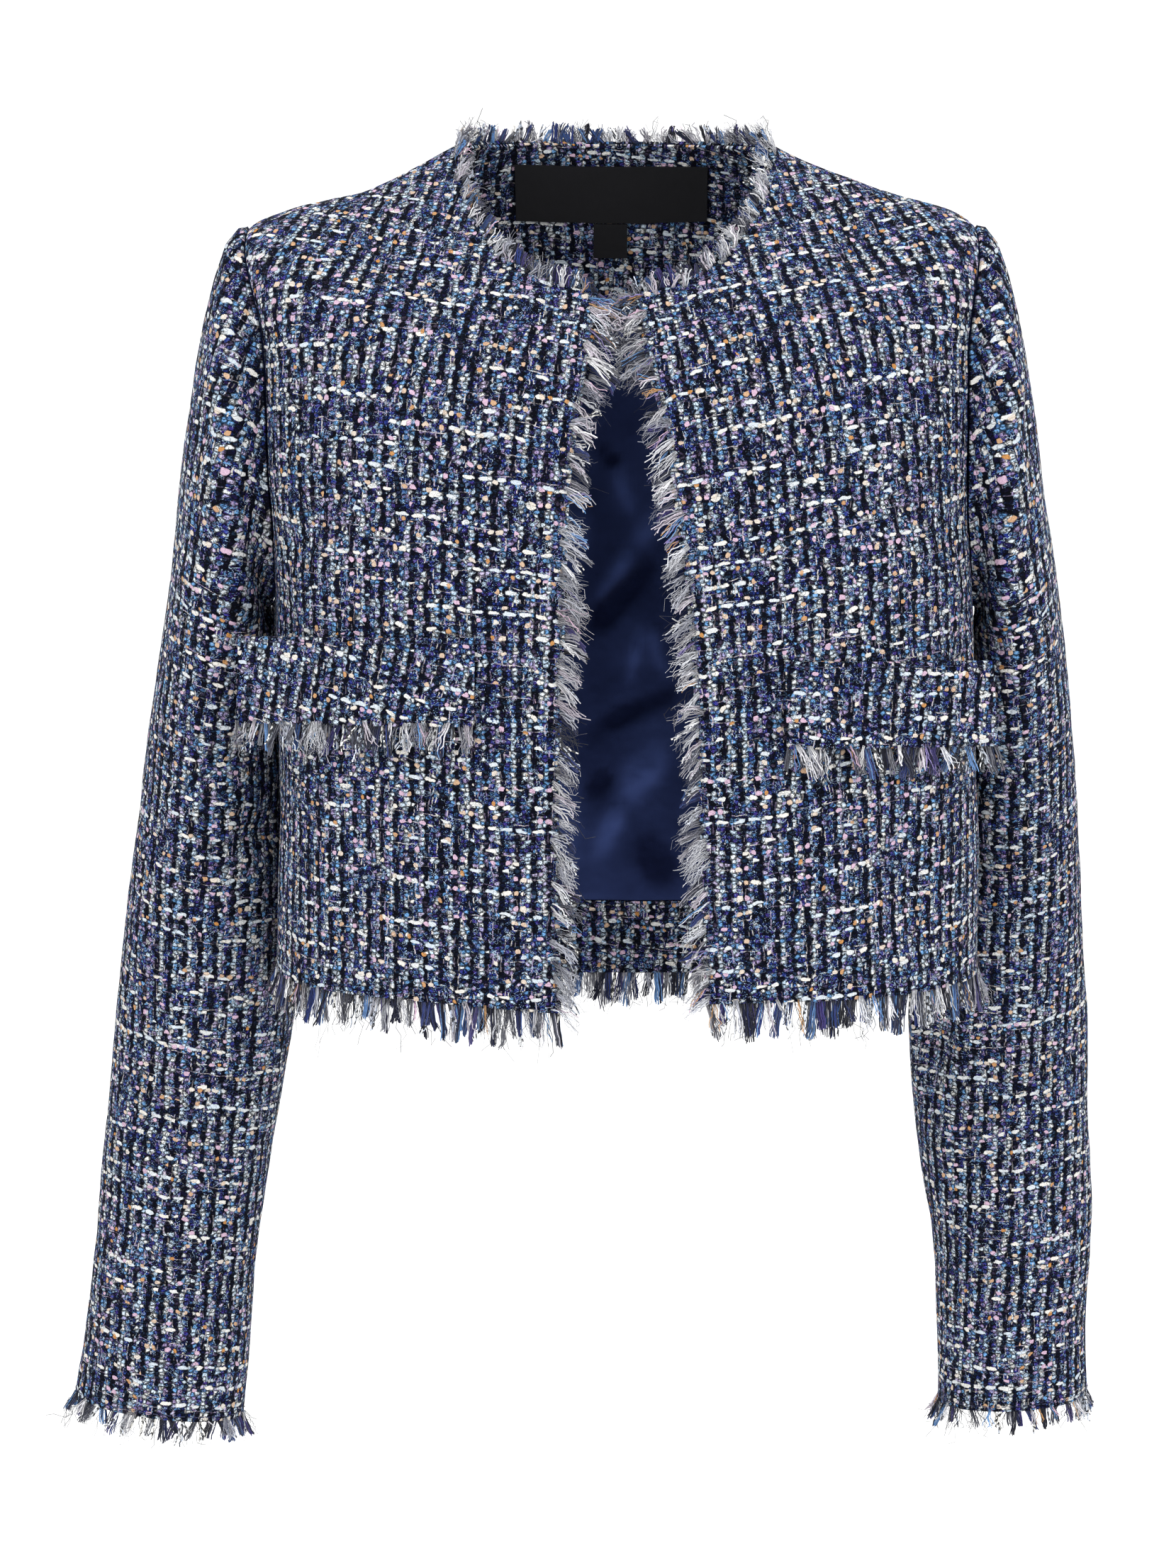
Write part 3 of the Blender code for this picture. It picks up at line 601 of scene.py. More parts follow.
def sleeve_skins(side):
    """The sleeve's skins as tubes whose first column is the line under the arm."""
    count = round(SLEEVE_AROUND / GRID) * 2
    angles = 2 * np.pi * np.arange(count) / count + np.pi
    stops, start = sleeve_stops(side, angles)
    lengths = lengths_along(stops, 0)[:, 0]
    rest = np.linspace(EDGE_COLUMNS[-1], lengths[-1], round(lengths[-1] / GRID))
    distances = np.concatenate([EDGE_COLUMNS[:-1], rest])
    rings = rings_at(stops, np.interp(distances, lengths, np.arange(len(stops))))
    rings[len(EDGE_COLUMNS) :] = clear_of_body(rings[len(EDGE_COLUMNS) :])
    normals = tube_normals(rings)

    def path(turn, cut):
        ring = rings_at(stops, np.clip(cut * STOPS_PER_CUT + 2, 0, len(stops) - 1))
        column = np.round((turn - 180) / 360 * count).astype(int) % count
        return ring[np.arange(len(ring)), column]

    lift = crease_lift(rings, SLEEVE_CREASES[side], path) + ripple_lift(rings, CLOTH_RIPPLES)
    share = np.minimum(distances / SLEEVE_BLEND, 1)[:, None, None]
    lift = lift[..., None] * share + dip(distances, SEAM_DIP)[:, None, None]
    outer = rings + normals * lift
    inner = between(start + rings - rings[0], rings - CLOTH * normals, share)
    inner = inner + normals * (lift * share)
    inner[0] = start
    closed = np.concatenate([inner, inner[:, :1]], axis=1)
    return Skins(outer, inner, flatten(closed, count // 2))


def flap_points(flap, across, down, out):
    """Points of a flap. It follows the body, then runs straight on and stands off it."""
    sign = SIDES[flap.side]
    x = between(flap.inner_x, flap.outer_x, across)
    z = between(flap.inner_top, flap.outer_top, across) - flap.height * down
    rows = row_at(z)
    turns = turn_at(rows, sign * np.minimum(np.abs(x), flap.leave_x))
    base = body_points(rows, turns)
    tangent = unit((base - body_points(rows, turns - sign * FLAP_TURN)) * (1, 1, 0))
    base[..., 2] = z
    lift = FLAP_GAP + out + FLAP_STAND_OFF * down**FLAP_CURL + body_lift(rows, turns)
    past = np.maximum(0, np.abs(x) - flap.leave_x)
    return base + tangent * past[..., None] + body_normals(rows, turns) * lift[..., None]


def flap_skins(side):
    """The flap's skins from its lower edge up, with its edges rounded."""
    flap = FLAPS[side]
    width = abs(flap.outer_x - flap.inner_x)
    across = column_shares(width)[None, :]
    down = 1 - column_shares(flap.height)[:, None]
    across, down = np.broadcast_arrays(across, down)
    x, z = across * width, down * flap.height
    rounding = sum(dip(distance, FREE_DIP) for distance in (x, width - x, z, flap.height - z))
    outer = flap_points(flap, across, down, FLAP_CLOTH + rounding)
    inner = flap_points(flap, across, down, 0.0)
    return Skins(outer, inner, flatten(inner, inner.shape[1] // 2, FLAP_LEAN[side]))


def facing_skins(rows):
    """A facing that lies inside the back."""
    places = back_places(rows, INSIDE_TRIM)
    outer, inner = body_skins(places, SEAM_DIP, CLOTH + FACING_GAP, FACING_CLOTH)
    return Skins(outer, inner, flatten(inner, inner.shape[1] // 2))


def lining_skins():
    """The lining between the two facings, hanging in folds from the back, and each point's fold, which
    the satin turns into painted light and shade.
    """
    low, high = float(row_at(HEM_FACING_TOP)) + LINING_ROW_TRIM, SHOULDER_TIP - LINING_ROW_TRIM
    inside = fine_rows()
    inside = inside[(inside > low) & (inside < high)]
    rows, turns = back_places(np.concatenate([[low], inside, [high]]), INSIDE_TRIM)
    base, normals = body_points(rows, turns), body_normals(rows, turns)
    height = np.broadcast_to((rows - low) / (high - low), turns.shape)
    folds = crease_lift(base, LINING_CREASES, lambda turn, row: body_points(row, turn))
    drop = LINING_HANG + folds + ripple_lift(base, LINING_RIPPLES)
    drop = np.maximum(drop, 0) * np.sqrt(np.sin(np.pi * np.clip(height, 0, 1)))
    depth = CLOTH + FACING_GAP + drop - body_lift(rows, turns)
    outer = base - normals * depth[..., None]
    inner = base - normals * (depth + LINING_CLOTH)[..., None]
    skins = Skins(outer, inner, flatten(inner, inner.shape[1] // 2))
    return skins, np.clip(folds / FULL_FOLD, -1, 1)


def label_skins(label):
    """A label on the neck facing's inner side."""
    start = CLOTH + FACING_GAP + FACING_CLOTH + LABEL_GAP + label.lift
    heights = np.linspace(label.top - label.height, label.top, LABEL_ROWS)
    places = np.linspace(0.5, -0.5, LABEL_COLUMNS) * label.width + label.x
    search = np.linspace(*LABEL_TURNS, SEARCH_STEPS)
    rows = row_at(heights, "z_back", SHOULDER_TIP, NECKLINE)[:, None]
    lines = []
    for row in rows[:, 0]:
        found = body_points(row, search) - start * body_normals(row, search)
        lines.append(np.interp(-places, -found[:, 0], search))
    turns = np.array(lines)
    base, normals = body_points(rows, turns), body_normals(rows, turns)
    depth = (start - body_lift(rows, turns))[..., None]
    outer, inner = base - normals * depth, base - normals * (depth + LABEL_CLOTH)
    return Skins(outer, inner, flatten(inner, LABEL_COLUMNS // 2))


def row_edge(skins, row, ring=False):
    """The edge that a piece's first or last row makes."""
    inside = skins.outer[1 if row == 0 else -2]
    middle = (skins.outer[row] + skins.inner[row]) / 2
    outs, ups = skins.outer[row] - inside, skins.outer[row] - skins.inner[row]
    return Edge(middle, unit(outs), unit(ups), ring)


def column_edge(skins, column, inside):
    """The edge that a piece's first or last column makes."""
    outer, inner = skins.outer[:, column], skins.inner[:, column]
    outs = unit(outer - skins.outer[:, inside])
    return Edge((outer + inner) / 2, outs, unit(outer - inner), False)


# Materials


class Value:
    """A socket in a node tree. Python's own operators on it add the Math nodes."""

    def __init__(self, graph, socket):
        self.graph = graph
        self.socket = socket

    def math(self, operation, *values):
        inputs = dict(enumerate(values))
        return self.graph.node("ShaderNodeMath", {"operation": operation}, inputs)

    def __add__(self, other):
        return self.math("ADD", self, other)

    __radd__ = __add__

    def __sub__(self, other):
        return self.math("SUBTRACT", self, other)

    def __rsub__(self, other):
        return self.math("SUBTRACT", other, self)

    def __mul__(self, other):
        return self.math("MULTIPLY", self, other)

    __rmul__ = __mul__

    def __truediv__(self, other):
        return self.math("DIVIDE", self, other)

    def __rtruediv__(self, other):
        return self.math("DIVIDE", other, self)

    def __mod__(self, other):
        return self.math("FLOORED_MODULO", self, other)

    def __gt__(self, other):
        return self.math("GREATER_THAN", self, other)

    def __lt__(self, other):
        return self.math("LESS_THAN", self, other)

    def __abs__(self):
        return self.math("ABSOLUTE", self)

    def __floor__(self):
        return self.math("FLOOR", self)


class Nodes:
    """A node tree with the few calls that fill it."""

    def __init__(self, tree):
        self.tree = tree

    @staticmethod
    def find(sockets, key):
        if isinstance(key, int):
            return sockets[key]
        named = [socket for socket in sockets if socket.identifier == key]
        return (named or [socket for socket in sockets if socket.name == key])[0]

    def node(self, kind, settings, inputs, output=0):
        """Adds a node with its settings and its sockets' values or links, and gives an output."""
        made = self.tree.nodes.new(kind)
        for name, setting in settings.items():
            if name == "stops":
                self.set_stops(made.color_ramp, setting)
            else:
                setattr(made, name, setting)
        for key, value in inputs.items():
            socket = self.find(made.inputs, key)
            if isinstance(value, Value):
                self.tree.links.new(value.socket, socket)
            elif socket.type == "RGBA":
                socket.default_value = (*value[:3], 1.0)
            else:
                socket.default_value = value
        return Value(self, self.find(made.outputs, output)) if made.outputs else None

    @staticmethod
    def set_stops(ramp, stops):
        while len(ramp.elements) > 1:
            ramp.elements.remove(ramp.elements[-1])
        for number, (place, color) in enumerate(stops):
            stop = ramp.elements[0] if number == 0 else ramp.elements.new(place)
            stop.position = place
            stop.color = (*color[:3], 1.0)

    def parts(self, vector):
        """The three numbers of a vector or a colour."""
        first = self.node("ShaderNodeSeparateXYZ", {}, {"Vector": vector})
        return [Value(self, socket) for socket in first.socket.node.outputs]

    def joined(self, x, y, z=0.0):
        return self.node("ShaderNodeCombineXYZ", {}, {"X": x, "Y": y, "Z": z})

    def scaled(self, vector, scale):
        settings = {"operation": "SCALE"}
        return self.node("ShaderNodeVectorMath", settings, {"Vector": vector, "Scale": scale})

    def moved(self, vector, offset):
        return self.node("ShaderNodeVectorMath", {"operation": "ADD"}, {0: vector, 1: offset})

    def noise(self, vector, size, detail=1.0, output="Fac", roughness=0.5):
        inputs = {"Vector": vector, "Scale": 1 / size, "Detail": detail, "Roughness": roughness}
        return self.node("ShaderNodeTexNoise", {}, inputs, output)

    def chance(self, vector):
        """Three chances from 0 to 1 that are the same all over a cell."""
        settings = {"noise_dimensions": "3D"}
        return self.parts(self.node("ShaderNodeTexWhiteNoise", settings, {"Vector": vector}, "Color"))


class Graph(Nodes):
    """A material's node tree, emptied."""

    def __init__(self, name):
        self.material = bpy.data.materials.get(name) or bpy.data.materials.new(name)
        self.material.use_nodes = True
        super().__init__(self.material.node_tree)
        self.tree.nodes.clear()

    def step(self, value, low, high):
        """A soft step from 0 to 1 between two values."""
        inputs = {"Value": value, "From Min": low, "From Max": high}
        return self.node("ShaderNodeMapRange", {"interpolation_type": "SMOOTHSTEP"}, inputs, "Result")

    def patches(self, place, patch):
        """Soft patches where a noise is high."""
        return self.step(self.noise(place, patch.size, patch.detail), patch.low, patch.high)

    def ramp(self, value, stops):
        return self.node("ShaderNodeValToRGB", {"stops": stops}, {"Fac": value}, "Color")

    def mix(self, share, first, second):
        """The second colour over the first, by a share."""
        inputs = {"Factor_Float": share, "A_Color": first, "B_Color": second}
        return self.node("ShaderNodeMix", {"data_type": "RGBA"}, inputs, "Result_Color")

    def shade(self, color, value):
        """A colour multiplied by a value."""
        return self.scaled(color, value)

    def bump(self, height, distance, strength=1.0):
        inputs = {"Height": height, "Distance": distance, "Strength": strength}
        return self.node("ShaderNodeBump", {}, inputs, "Normal")

    def finish(self, **inputs):
        """Ends the material in a Principled surface, and gives the material."""
        sockets = {name.replace("_", " "): value for name, value in inputs.items()}
        surface = self.node("ShaderNodeBsdfPrincipled", {}, sockets)
        self.node("ShaderNodeOutputMaterial", {}, {"Surface": surface})
        return self.material


def linear(code):
    """A colour's linear values from its six-digit web code."""
    parts = [int(code[i : i + 2], 16) / 255 for i in (0, 2, 4)]
    return tuple(part / 12.92 if part <= 0.04045 else ((part + 0.055) / 1.055) ** 2.4 for part in parts)


# Where a noise of a size makes patches: it fades in from low to high.
Patch = namedtuple("Patch", "size detail low high")
BLACK_RUNS = Patch(1, 1, 0.38, 0.48)
BLURS = Patch(3.2, 2, 0.45, 0.68)
SPECKS, SPECK_AREAS = Patch(0.62, 1, 0.59, 0.67), Patch(2.4, 1, 0.42, 0.60)
# The pits' patches are painted shade in small hollows of the weave.
PIT_SHADES = Patch(0.8, 1, 0.59, 0.67)
UPRIGHT_RUNS, LEVEL_RUNS = Patch(1, 1, 0.585, 0.61), Patch(1, 1, 0.57, 0.60)
CURL_AREAS = Patch(4.5, 1, 0.5, 0.56)
THREAD_TWISTS = Patch(0.0004, 1, 0.35, 0.7)

BEAD_COLUMNS = 3
WHITE_COLUMN, BLACK_COLUMN = 0, 2
# How yarns drift off their straight lines: sizes and amounts of soft noises, in millimetres.
COLUMN_DRIFT = ((42, 3.4), (5.5, 1.8), (1.6, 0.8), (0.7, 0.3))
THREAD_DRIFT = ((9, 3.5), (2.5, 1.0))
SLUB_DRIFT = ((30, 5.0), (7, 2.8), (2.0, 1.3), (0.8, 0.5))
THREAD_PITCH = 5.45
SLUB_PITCH, SLUB_THICK, SLUB_RUN = 10.9, 2.35, 52
TUFT_PITCH, TUFT_THICK, TUFT_PATCH = 7.6, 2.6, 17
TUFT_SHIFT = (3.1, 4.4)

# A yarn that lies over the ground: how well it covers, its darkest shade, its contrast, its height.
Layer = namedtuple("Layer", "cover shade contrast height")
THREADS = Layer(0.85, 0.4, 0.8, 0.2)
CURLS = Layer(0.7, 1.0, 0.0, 0.12)
SLUBS = Layer(0.97, 0.62, 0.6, 0.7)
TUFTS = Layer(0.9, 0.45, 0.9, 0.5)


def rounded(share):
    """A thread's round profile from a share of the way across it."""
    centred = share * 2 - 1
    return 1 - centred * centred


def weave_place(graph):
    """A point's place on the uncut cloth, in millimetres."""
    return graph.scaled(graph.node("ShaderNodeUVMap", {"uv_map": "weave"}, {}, "UV"), 1 / MM)


def wandering(graph, place, amounts):
    """The parts of a place moved by soft noises, each of a size and an amount."""
    moved = place
    for size, amount in amounts:
        drift = graph.moved(graph.noise(place, size, 1, "Color"), (-0.5, -0.5, -0.5))
        moved = graph.moved(moved, graph.scaled(drift, amount))
    return graph.parts(moved)


def cells(graph, spot, randomness):
    """Uneven cells: distances to their edges and middles, their columns, and their chances."""
    inputs = {"Vector": spot, "Scale": 1.0, "Randomness": randomness}
    settings = {"voronoi_dimensions": "2D", "feature": "DISTANCE_TO_EDGE"}
    edge = graph.node("ShaderNodeTexVoronoi", settings, inputs, "Distance")
    middle = graph.node("ShaderNodeTexVoronoi", {"voronoi_dimensions": "2D"}, inputs, "Distance")
    sockets = middle.socket.node.outputs
    column, _, _ = graph.parts(Value(graph, sockets["Position"]))
    return edge, middle, math.floor(column), graph.parts(Value(graph, sockets["Color"]))


def floats(graph, u, v, pitch, length, thick, seed):
    """Yarn that lies across the cloth in short floats: their mask, their chances, and their row."""
    line, stretch = v / pitch, u / length
    row, place = math.floor(line), math.floor(stretch)
    chances = graph.chance(graph.joined(place, row, seed))
    x = abs(stretch - place - 0.5) / (0.30 + 0.16 * chances[2])
    y = (line - row - 0.5) * (pitch * 2 / thick)
    return graph.step(1 - x * x * x - y * y, 0.0, 0.45), chances, row


def dyes(graph, cloth, aside, marl, luck):
    """The dyed colours that follow each other along the ground's yarn."""
    stops = {
        0.0: cloth.ink,
        0.24: cloth.navy,
        0.37: cloth.ink,
        0.49: cloth.royal,
        0.57: cloth.violet,
        0.66: cloth.navy,
        0.76: cloth.steel,
        0.83: cloth.sky,
        0.87: cloth.navy,
        0.98: cloth.lilac,
    }
    return graph.ramp(luck + 0.8 * (graph.noise(aside, 34, 1) - 0.5) + 0.55 * marl, stops.items())


def bead_columns(graph, cloth, place, aside, zone, fine):
    """The ground's beaded columns, every third one dark, with painted shade at each bead's edge: colour,
    height, and where it is black.
    """
    u, v, _ = wandering(graph, place, COLUMN_DRIFT)
    band = graph.noise(graph.joined(u / 34, v / 9), 1, 1) - 0.5
    spot = graph.joined(u / (cloth.repeat / MM / BEAD_COLUMNS), v / (cloth.bead_pitch / MM))
    edge, middle, column, (chance, luck, tone) = cells(graph, spot, 0.76)
    kind = column % BEAD_COLUMNS
    is_white = kind < WHITE_COLUMN + 0.5
    is_dark = kind > BLACK_COLUMN - 0.5
    solid = graph.patches(graph.joined(column * 3.7, v / 15, 5.0), BLACK_RUNS)
    is_black = is_dark * solid
    _, keep, _ = graph.chance(graph.joined(math.floor(column / BEAD_COLUMNS), 2.0, 5.0))
    plenty = 0.38 * keep - 0.03 + 2.0 * zone + 1.5 * band
    share = 0.10 + 0.36 * is_white + plenty * (0.35 + 0.65 * is_white)
    share = 0.02 + share * (1 - 0.6 * is_dark - 0.4 * is_black)
    is_bead = chance < share

    dye = dyes(graph, cloth, aside, graph.noise(place, 1.0, 2) - 0.5, luck)
    wash = graph.mix(tone > 0.62, cloth.royal, cloth.violet)
    dye = graph.mix(0.45 * graph.patches(place, BLURS), dye, wash)
    ground = graph.mix(is_black * 0.88, dye, cloth.ink)
    bead = graph.mix(tone > 0.82, graph.mix(tone, cloth.pale, cloth.cream), cloth.sky)
    bead = graph.mix(0.75 * (luck > 0.86), bead, cloth.lilac)
    bead = graph.shade(bead, 0.80 + 0.38 * graph.step(luck, 0.1, 0.6))
    color = graph.shade(graph.mix(is_bead, ground, bead), 0.07 + 1.7 * fine)

    # Painted shade: each cell darkens to the ink towards its edge and some loops get a dark middle;
    # partly this is the dark ground yarn between the beads.
    rim = graph.step(edge, 0.03, 0.24) * (1 - graph.step(middle, 0.40, 0.66))
    loop = (chance > share * 0.62) * is_bead * (1 - graph.step(middle, 0.06, 0.16))
    unshaded_share = rim * (1 - 0.85 * loop)
    unshaded_share = unshaded_share + (1 - unshaded_share) * (0.13 - 0.10 * is_black)
    color = graph.mix(unshaded_share, cloth.ink, color)
    speck = graph.patches(graph.moved(place, (1.0, 9.0, 0.0)), SPECKS)
    speck = speck * graph.patches(place, SPECK_AREAS) * (1 - 0.9 * is_black)
    speck_color = graph.mix(luck > 0.78, graph.mix(tone, cloth.sky, cloth.pale), cloth.lilac)
    color = graph.mix(speck * (0.85 - 0.6 * is_bead), color, speck_color)
    # Small dark pits in ink: painted shade in hollows of the weave, fainter on the beads.
    pit_shade = graph.patches(graph.moved(place, (5.0, 2.0, 0.0)), PIT_SHADES)
    color = graph.mix(pit_shade * (0.7 - 0.5 * is_bead), color, cloth.ink)
    return color, rim * (0.25 + 0.45 * is_bead + 0.25 * fine), is_black


def thin_threads(graph, cloth, place):
    """Thin pale threads that surface in runs along and across the cloth: mask and colour."""
    u, v, _ = wandering(graph, place, THREAD_DRIFT)
    end = u / (cloth.repeat / MM / 4)
    number = math.floor(end)
    run = graph.patches(graph.joined(number * 9.1, v / 5.5, 17.0), UPRIGHT_RUNS)
    upright = run * (abs(end - number - 0.5) < 0.15)
    _, tone, _ = graph.chance(graph.joined(number, 4.0, 8.0))
    line = v / THREAD_PITCH + u * (cloth.skew / THREAD_PITCH)
    number = math.floor(line)
    run = graph.patches(graph.joined(u / 15, number * 6.7, 29.0), LEVEL_RUNS)
    level = run * (abs(line - number - 0.5) < 0.045)
    return upright + level * (1 - upright), graph.mix(tone, cloth.lilac, cloth.cream)


def ridges(graph, place, size, low, high):
    """Thin winding lines."""
    return graph.step(1 - abs(graph.noise(place, size, 2) - 0.5) * 2, low, high)


def slubs(graph, cloth, across, along, zone):
    """Thick white slubs in runs across the cloth: mask and colour."""
    repeat = cloth.repeat / MM
    mask, chances, row = floats(graph, across, along, SLUB_PITCH, repeat, SLUB_THICK, 3.0)
    run = graph.noise(graph.joined(across / SLUB_RUN, row * 7.3, 2.0), 1, 1) - 0.5
    mask = mask * (chances[0] < 0.33 + 3.6 * run + 0.8 * zone)
    return mask, graph.mix(0.35 + 0.65 * chances[1], cloth.pale, cloth.cream)


def tufts(graph, cloth, across, along, aside):
    """Short tan, cream and pink tufts in patches: mask and colour."""
    repeat = cloth.repeat / MM
    u, v = across + TUFT_SHIFT[0], along + TUFT_SHIFT[1]
    mask, chances, _ = floats(graph, u, v, TUFT_PITCH, repeat / 2, TUFT_THICK, 11.0)
    warm = graph.noise(aside, TUFT_PATCH, 1) - 0.5
    mask = mask * (chances[0] < 0.23 + warm)
    color = graph.mix(chances[2], cloth.tan, cloth.cream)
    return mask, graph.mix(chances[1] > 0.62, color, cloth.pink)


def tweed_material():
    """Boucle tweed: beaded white columns, dark stripes, dyed loops, threads, slubs and tufts."""
    cloth = bpy.context.scene.jacket_cloth
    graph = Graph("jacket_tweed")
    place = weave_place(graph)
    aside = graph.moved(place, (7.0, 3.0, 0.0))
    fine = graph.noise(place, 0.45, 2)
    zone = graph.noise(place, 26, 2) - 0.5
    color, height, is_black = bead_columns(graph, cloth, place, aside, zone, fine)

    def lay(layer, mask, over):
        share = layer.cover * mask
        shade = layer.shade + layer.contrast * fine
        return graph.mix(share, color, graph.shade(over, shade)), height + layer.height * mask

    thread, thread_color = thin_threads(graph, cloth, place)
    shade = graph.shade(thread_color, THREADS.shade + THREADS.contrast * fine)
    color = graph.mix(thread * (THREADS.cover - 0.6 * is_black), color, shade)
    color = graph.mix(0.85 * ridges(graph, aside, 2.1, 0.92, 0.97), color, cloth.ink)
    curl = ridges(graph, place, 2.6, 0.955, 0.985) * graph.patches(aside, CURL_AREAS)
    color = graph.mix(curl * CURLS.cover * (1 - is_black), color, cloth.pale)
    height = height + THREADS.height * thread + CURLS.height * curl

    across, along, _ = wandering(graph, place, SLUB_DRIFT)
    along = along + across * cloth.skew
    slub, slub_color = slubs(graph, cloth, across, along, zone)
    color, height = lay(SLUBS, slub, slub_color)
    color, height = lay(TUFTS, *tufts(graph, cloth, across, along, aside))
    return graph.finish(
        Base_Color=color,
        Roughness=0.94 - 0.1 * slub,
        Normal=graph.bump(height, cloth.relief),
        Specular_IOR_Level=0.07,
    )


def satin_material():
    """Lining satin: a smooth deep blue with a fine weave and soft wrinkles, painted paler on its folds'
    crests and in soft patches and darker in its valleys, as painted light and shade.
    """
    inside = bpy.context.scene.jacket_inside
    graph = Graph("jacket_satin")
    place = graph.node("ShaderNodeTexCoord", {}, {}, "Object")
    fold = graph.node("ShaderNodeAttribute", {"attribute_name": "fold"}, {}, "Fac")
    pucker = graph.noise(place, 0.02, 2)
    threads = graph.noise(place, 0.0007, 1)
    # Painted light and shade: the folds' crests and soft patches get the paler satin colour, the valleys
    # the darker one.
    lit = 1.5 * fold + (graph.noise(place, 0.045, 1) - 0.5) + 0.7 * (pucker - 0.5)
    color = graph.mix(graph.step(lit, -0.85, 1.6), inside.satin_painted_shade, inside.satin)
    return graph.finish(
        Base_Color=graph.shade(color, 0.97 + 0.06 * threads),
        Roughness=0.42 + 0.1 * pucker,
        Normal=graph.bump(pucker + 0.02 * threads, 0.003, 0.9),
        Specular_IOR_Level=0.2,
        Specular_Tint=(*linear("4a68b8"), 1.0),
    )


RIB_PITCH, RIBBON_THREAD = 0.45, 0.3


def ribbon_material():
    """Woven ribbon: near black, with fine ribs across it and a woven selvedge."""
    inside = bpy.context.scene.jacket_inside
    graph = Graph("jacket_ribbon")
    place = weave_place(graph)
    u, v, _ = graph.parts(place)
    rib, thread = v / RIB_PITCH, u / RIBBON_THREAD
    ribs = rounded(rib - math.floor(rib)) * (0.6 + 0.4 * rounded(thread - math.floor(thread)))
    grain = graph.noise(place, 0.5, 2)
    color = graph.mix(grain * 0.6 + ribs * 0.4, inside.ribbon, linear("15151a"))
    return graph.finish(
        Base_Color=color,
        Roughness=0.62 + 0.2 * grain,
        Normal=graph.bump(ribs + 0.3 * grain, 0.00018),
        Specular_IOR_Level=0.25,
    )


def yarn_material():
    """Frayed yarn: each strand's own colour, darkened towards its root as painted shade, with a twist.
    """
    graph = Graph("jacket_frayed_yarn")
    tint = graph.node("ShaderNodeAttribute", {"attribute_name": "tint"}, {}, "Color")
    along = graph.node("ShaderNodeAttribute", {"attribute_name": "along"}, {}, "Fac")
    place = graph.node("ShaderNodeTexCoord", {}, {}, "Object")
    fleck = graph.noise(place, 0.0012, 2)
    # Painted shade: each strand is darker near its root, where the locks crowd against the cloth's edge.
    shade = 0.5 + 0.5 * graph.step(along, 0.0, 0.35) + 1.3 * (fleck - 0.5)
    beads = graph.node("ShaderNodeAttribute", {"attribute_name": "beads"}, {}, "Fac")
    gap = beads * (graph.noise(place, 0.0017, 0) < 0.47)
    return graph.finish(
        Base_Color=graph.mix(0.95 * gap, graph.shade(tint, shade), linear("0b0c16")),
        Roughness=0.85 + 0.1 * fleck,
        Normal=graph.bump(fleck, 0.0002),
        Sheen_Weight=0.2,
        Specular_IOR_Level=0.25,
    )


def stitch_material():
    """Sewing thread with its twist."""
    inside = bpy.context.scene.jacket_inside
    graph = Graph("jacket_sewing_thread")
    place = graph.node("ShaderNodeTexCoord", {}, {}, "Object")
    twist = graph.noise(place, THREAD_TWISTS.size, THREAD_TWISTS.detail)
    color = graph.mix(graph.patches(place, THREAD_TWISTS), inside.thread, linear("39406a"))
    return graph.finish(Base_Color=color, Roughness=0.55 + 0.2 * twist, Normal=graph.bump(twist, 0.0001))


# Meshes

SHARP = math.radians(40)


def finished(name, data, materials):
    """Puts a mesh in the scene as a piece that rides with the jacket."""
    for material in materials:
        data.materials.append(material)
    data.validate()
    data.shade_smooth()
    piece = placed(name, data)
    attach(piece, "root")
    return piece


def wall_faces(rows, columns, ring):
    """Quads of a wall between two grids, as numbers on the outer and then the inner grid."""
    outer = grid_faces(rows, columns)
    count = rows * columns
    across, along = np.arange(columns - 1), np.arange(rows - 1) * columns
    rims = [(across, 1, 1), (across + count - columns, 1, -1)]
    if not ring:
        rims += [(along, columns, -1), (along + columns - 1, columns, 1)]
    ends = []
    for here, step, way in rims:
        there = here + step
        ends.append(np.stack([here, here + count, there + count, there], axis=1)[:, ::way])
    return np.concatenate([outer, (outer + count)[:, ::-1], *ends]), len(outer)


def cloth_piece(name, skins, materials, lined=None, folds=None):
    """A closed wall of cloth between its skins, with the weave's place as its UV map.

    lined says which of the inner skin's points the second material covers. folds, from -1 to 1,
    says how far each point lies in a valley or on a crest; the satin paints shade and light from it.
    """
    outer, inner, weave = skins
    rows, columns = weave.shape[:2]
    ring = columns > outer.shape[1]
    faces, skin_faces = wall_faces(rows, columns, ring)
    own = outer.shape[1]
    number = np.arange(rows * columns).reshape(rows, columns)
    point = (number // columns) * own + (number % columns) % own
    point = np.concatenate([point.reshape(-1), point.reshape(-1) + rows * own])
    corner = faces[0]
    points = np.concatenate([outer.reshape(-1, 3), inner.reshape(-1, 3)])
    first = points[point[corner]]
    way = np.cross(first[2] - first[0], first[3] - first[1])
    if way @ (outer.reshape(-1, 3)[0] - inner.reshape(-1, 3)[0]) < 0:
        faces = faces[:, ::-1]
    data = bpy.data.meshes.new(name)
    data.from_pydata(points * MM, [], point[faces])
    places = np.concatenate([weave.reshape(-1, 2)] * 2)[faces.reshape(-1)]
    data.uv_layers.new(name="weave").uv.foreach_set("vector", places.astype(np.float32).reshape(-1))
    if lined is not None:
        covered = np.concatenate([lined.reshape(-1)] * 2)[faces].all(axis=1)
        slots = np.zeros(len(faces), np.int32)
        slots[skin_faces : 2 * skin_faces] = covered[skin_faces : 2 * skin_faces]
        data.polygons.foreach_set("material_index", slots)
    if folds is not None:
        values = np.concatenate([folds.reshape(-1)] * 2).astype(np.float32)
        data.attributes.new("fold", "FLOAT", "POINT").data.foreach_set("value", values)
    piece = finished(name, data, materials)
    data.set_sharp_from_angle(angle=SHARP)
    return piece


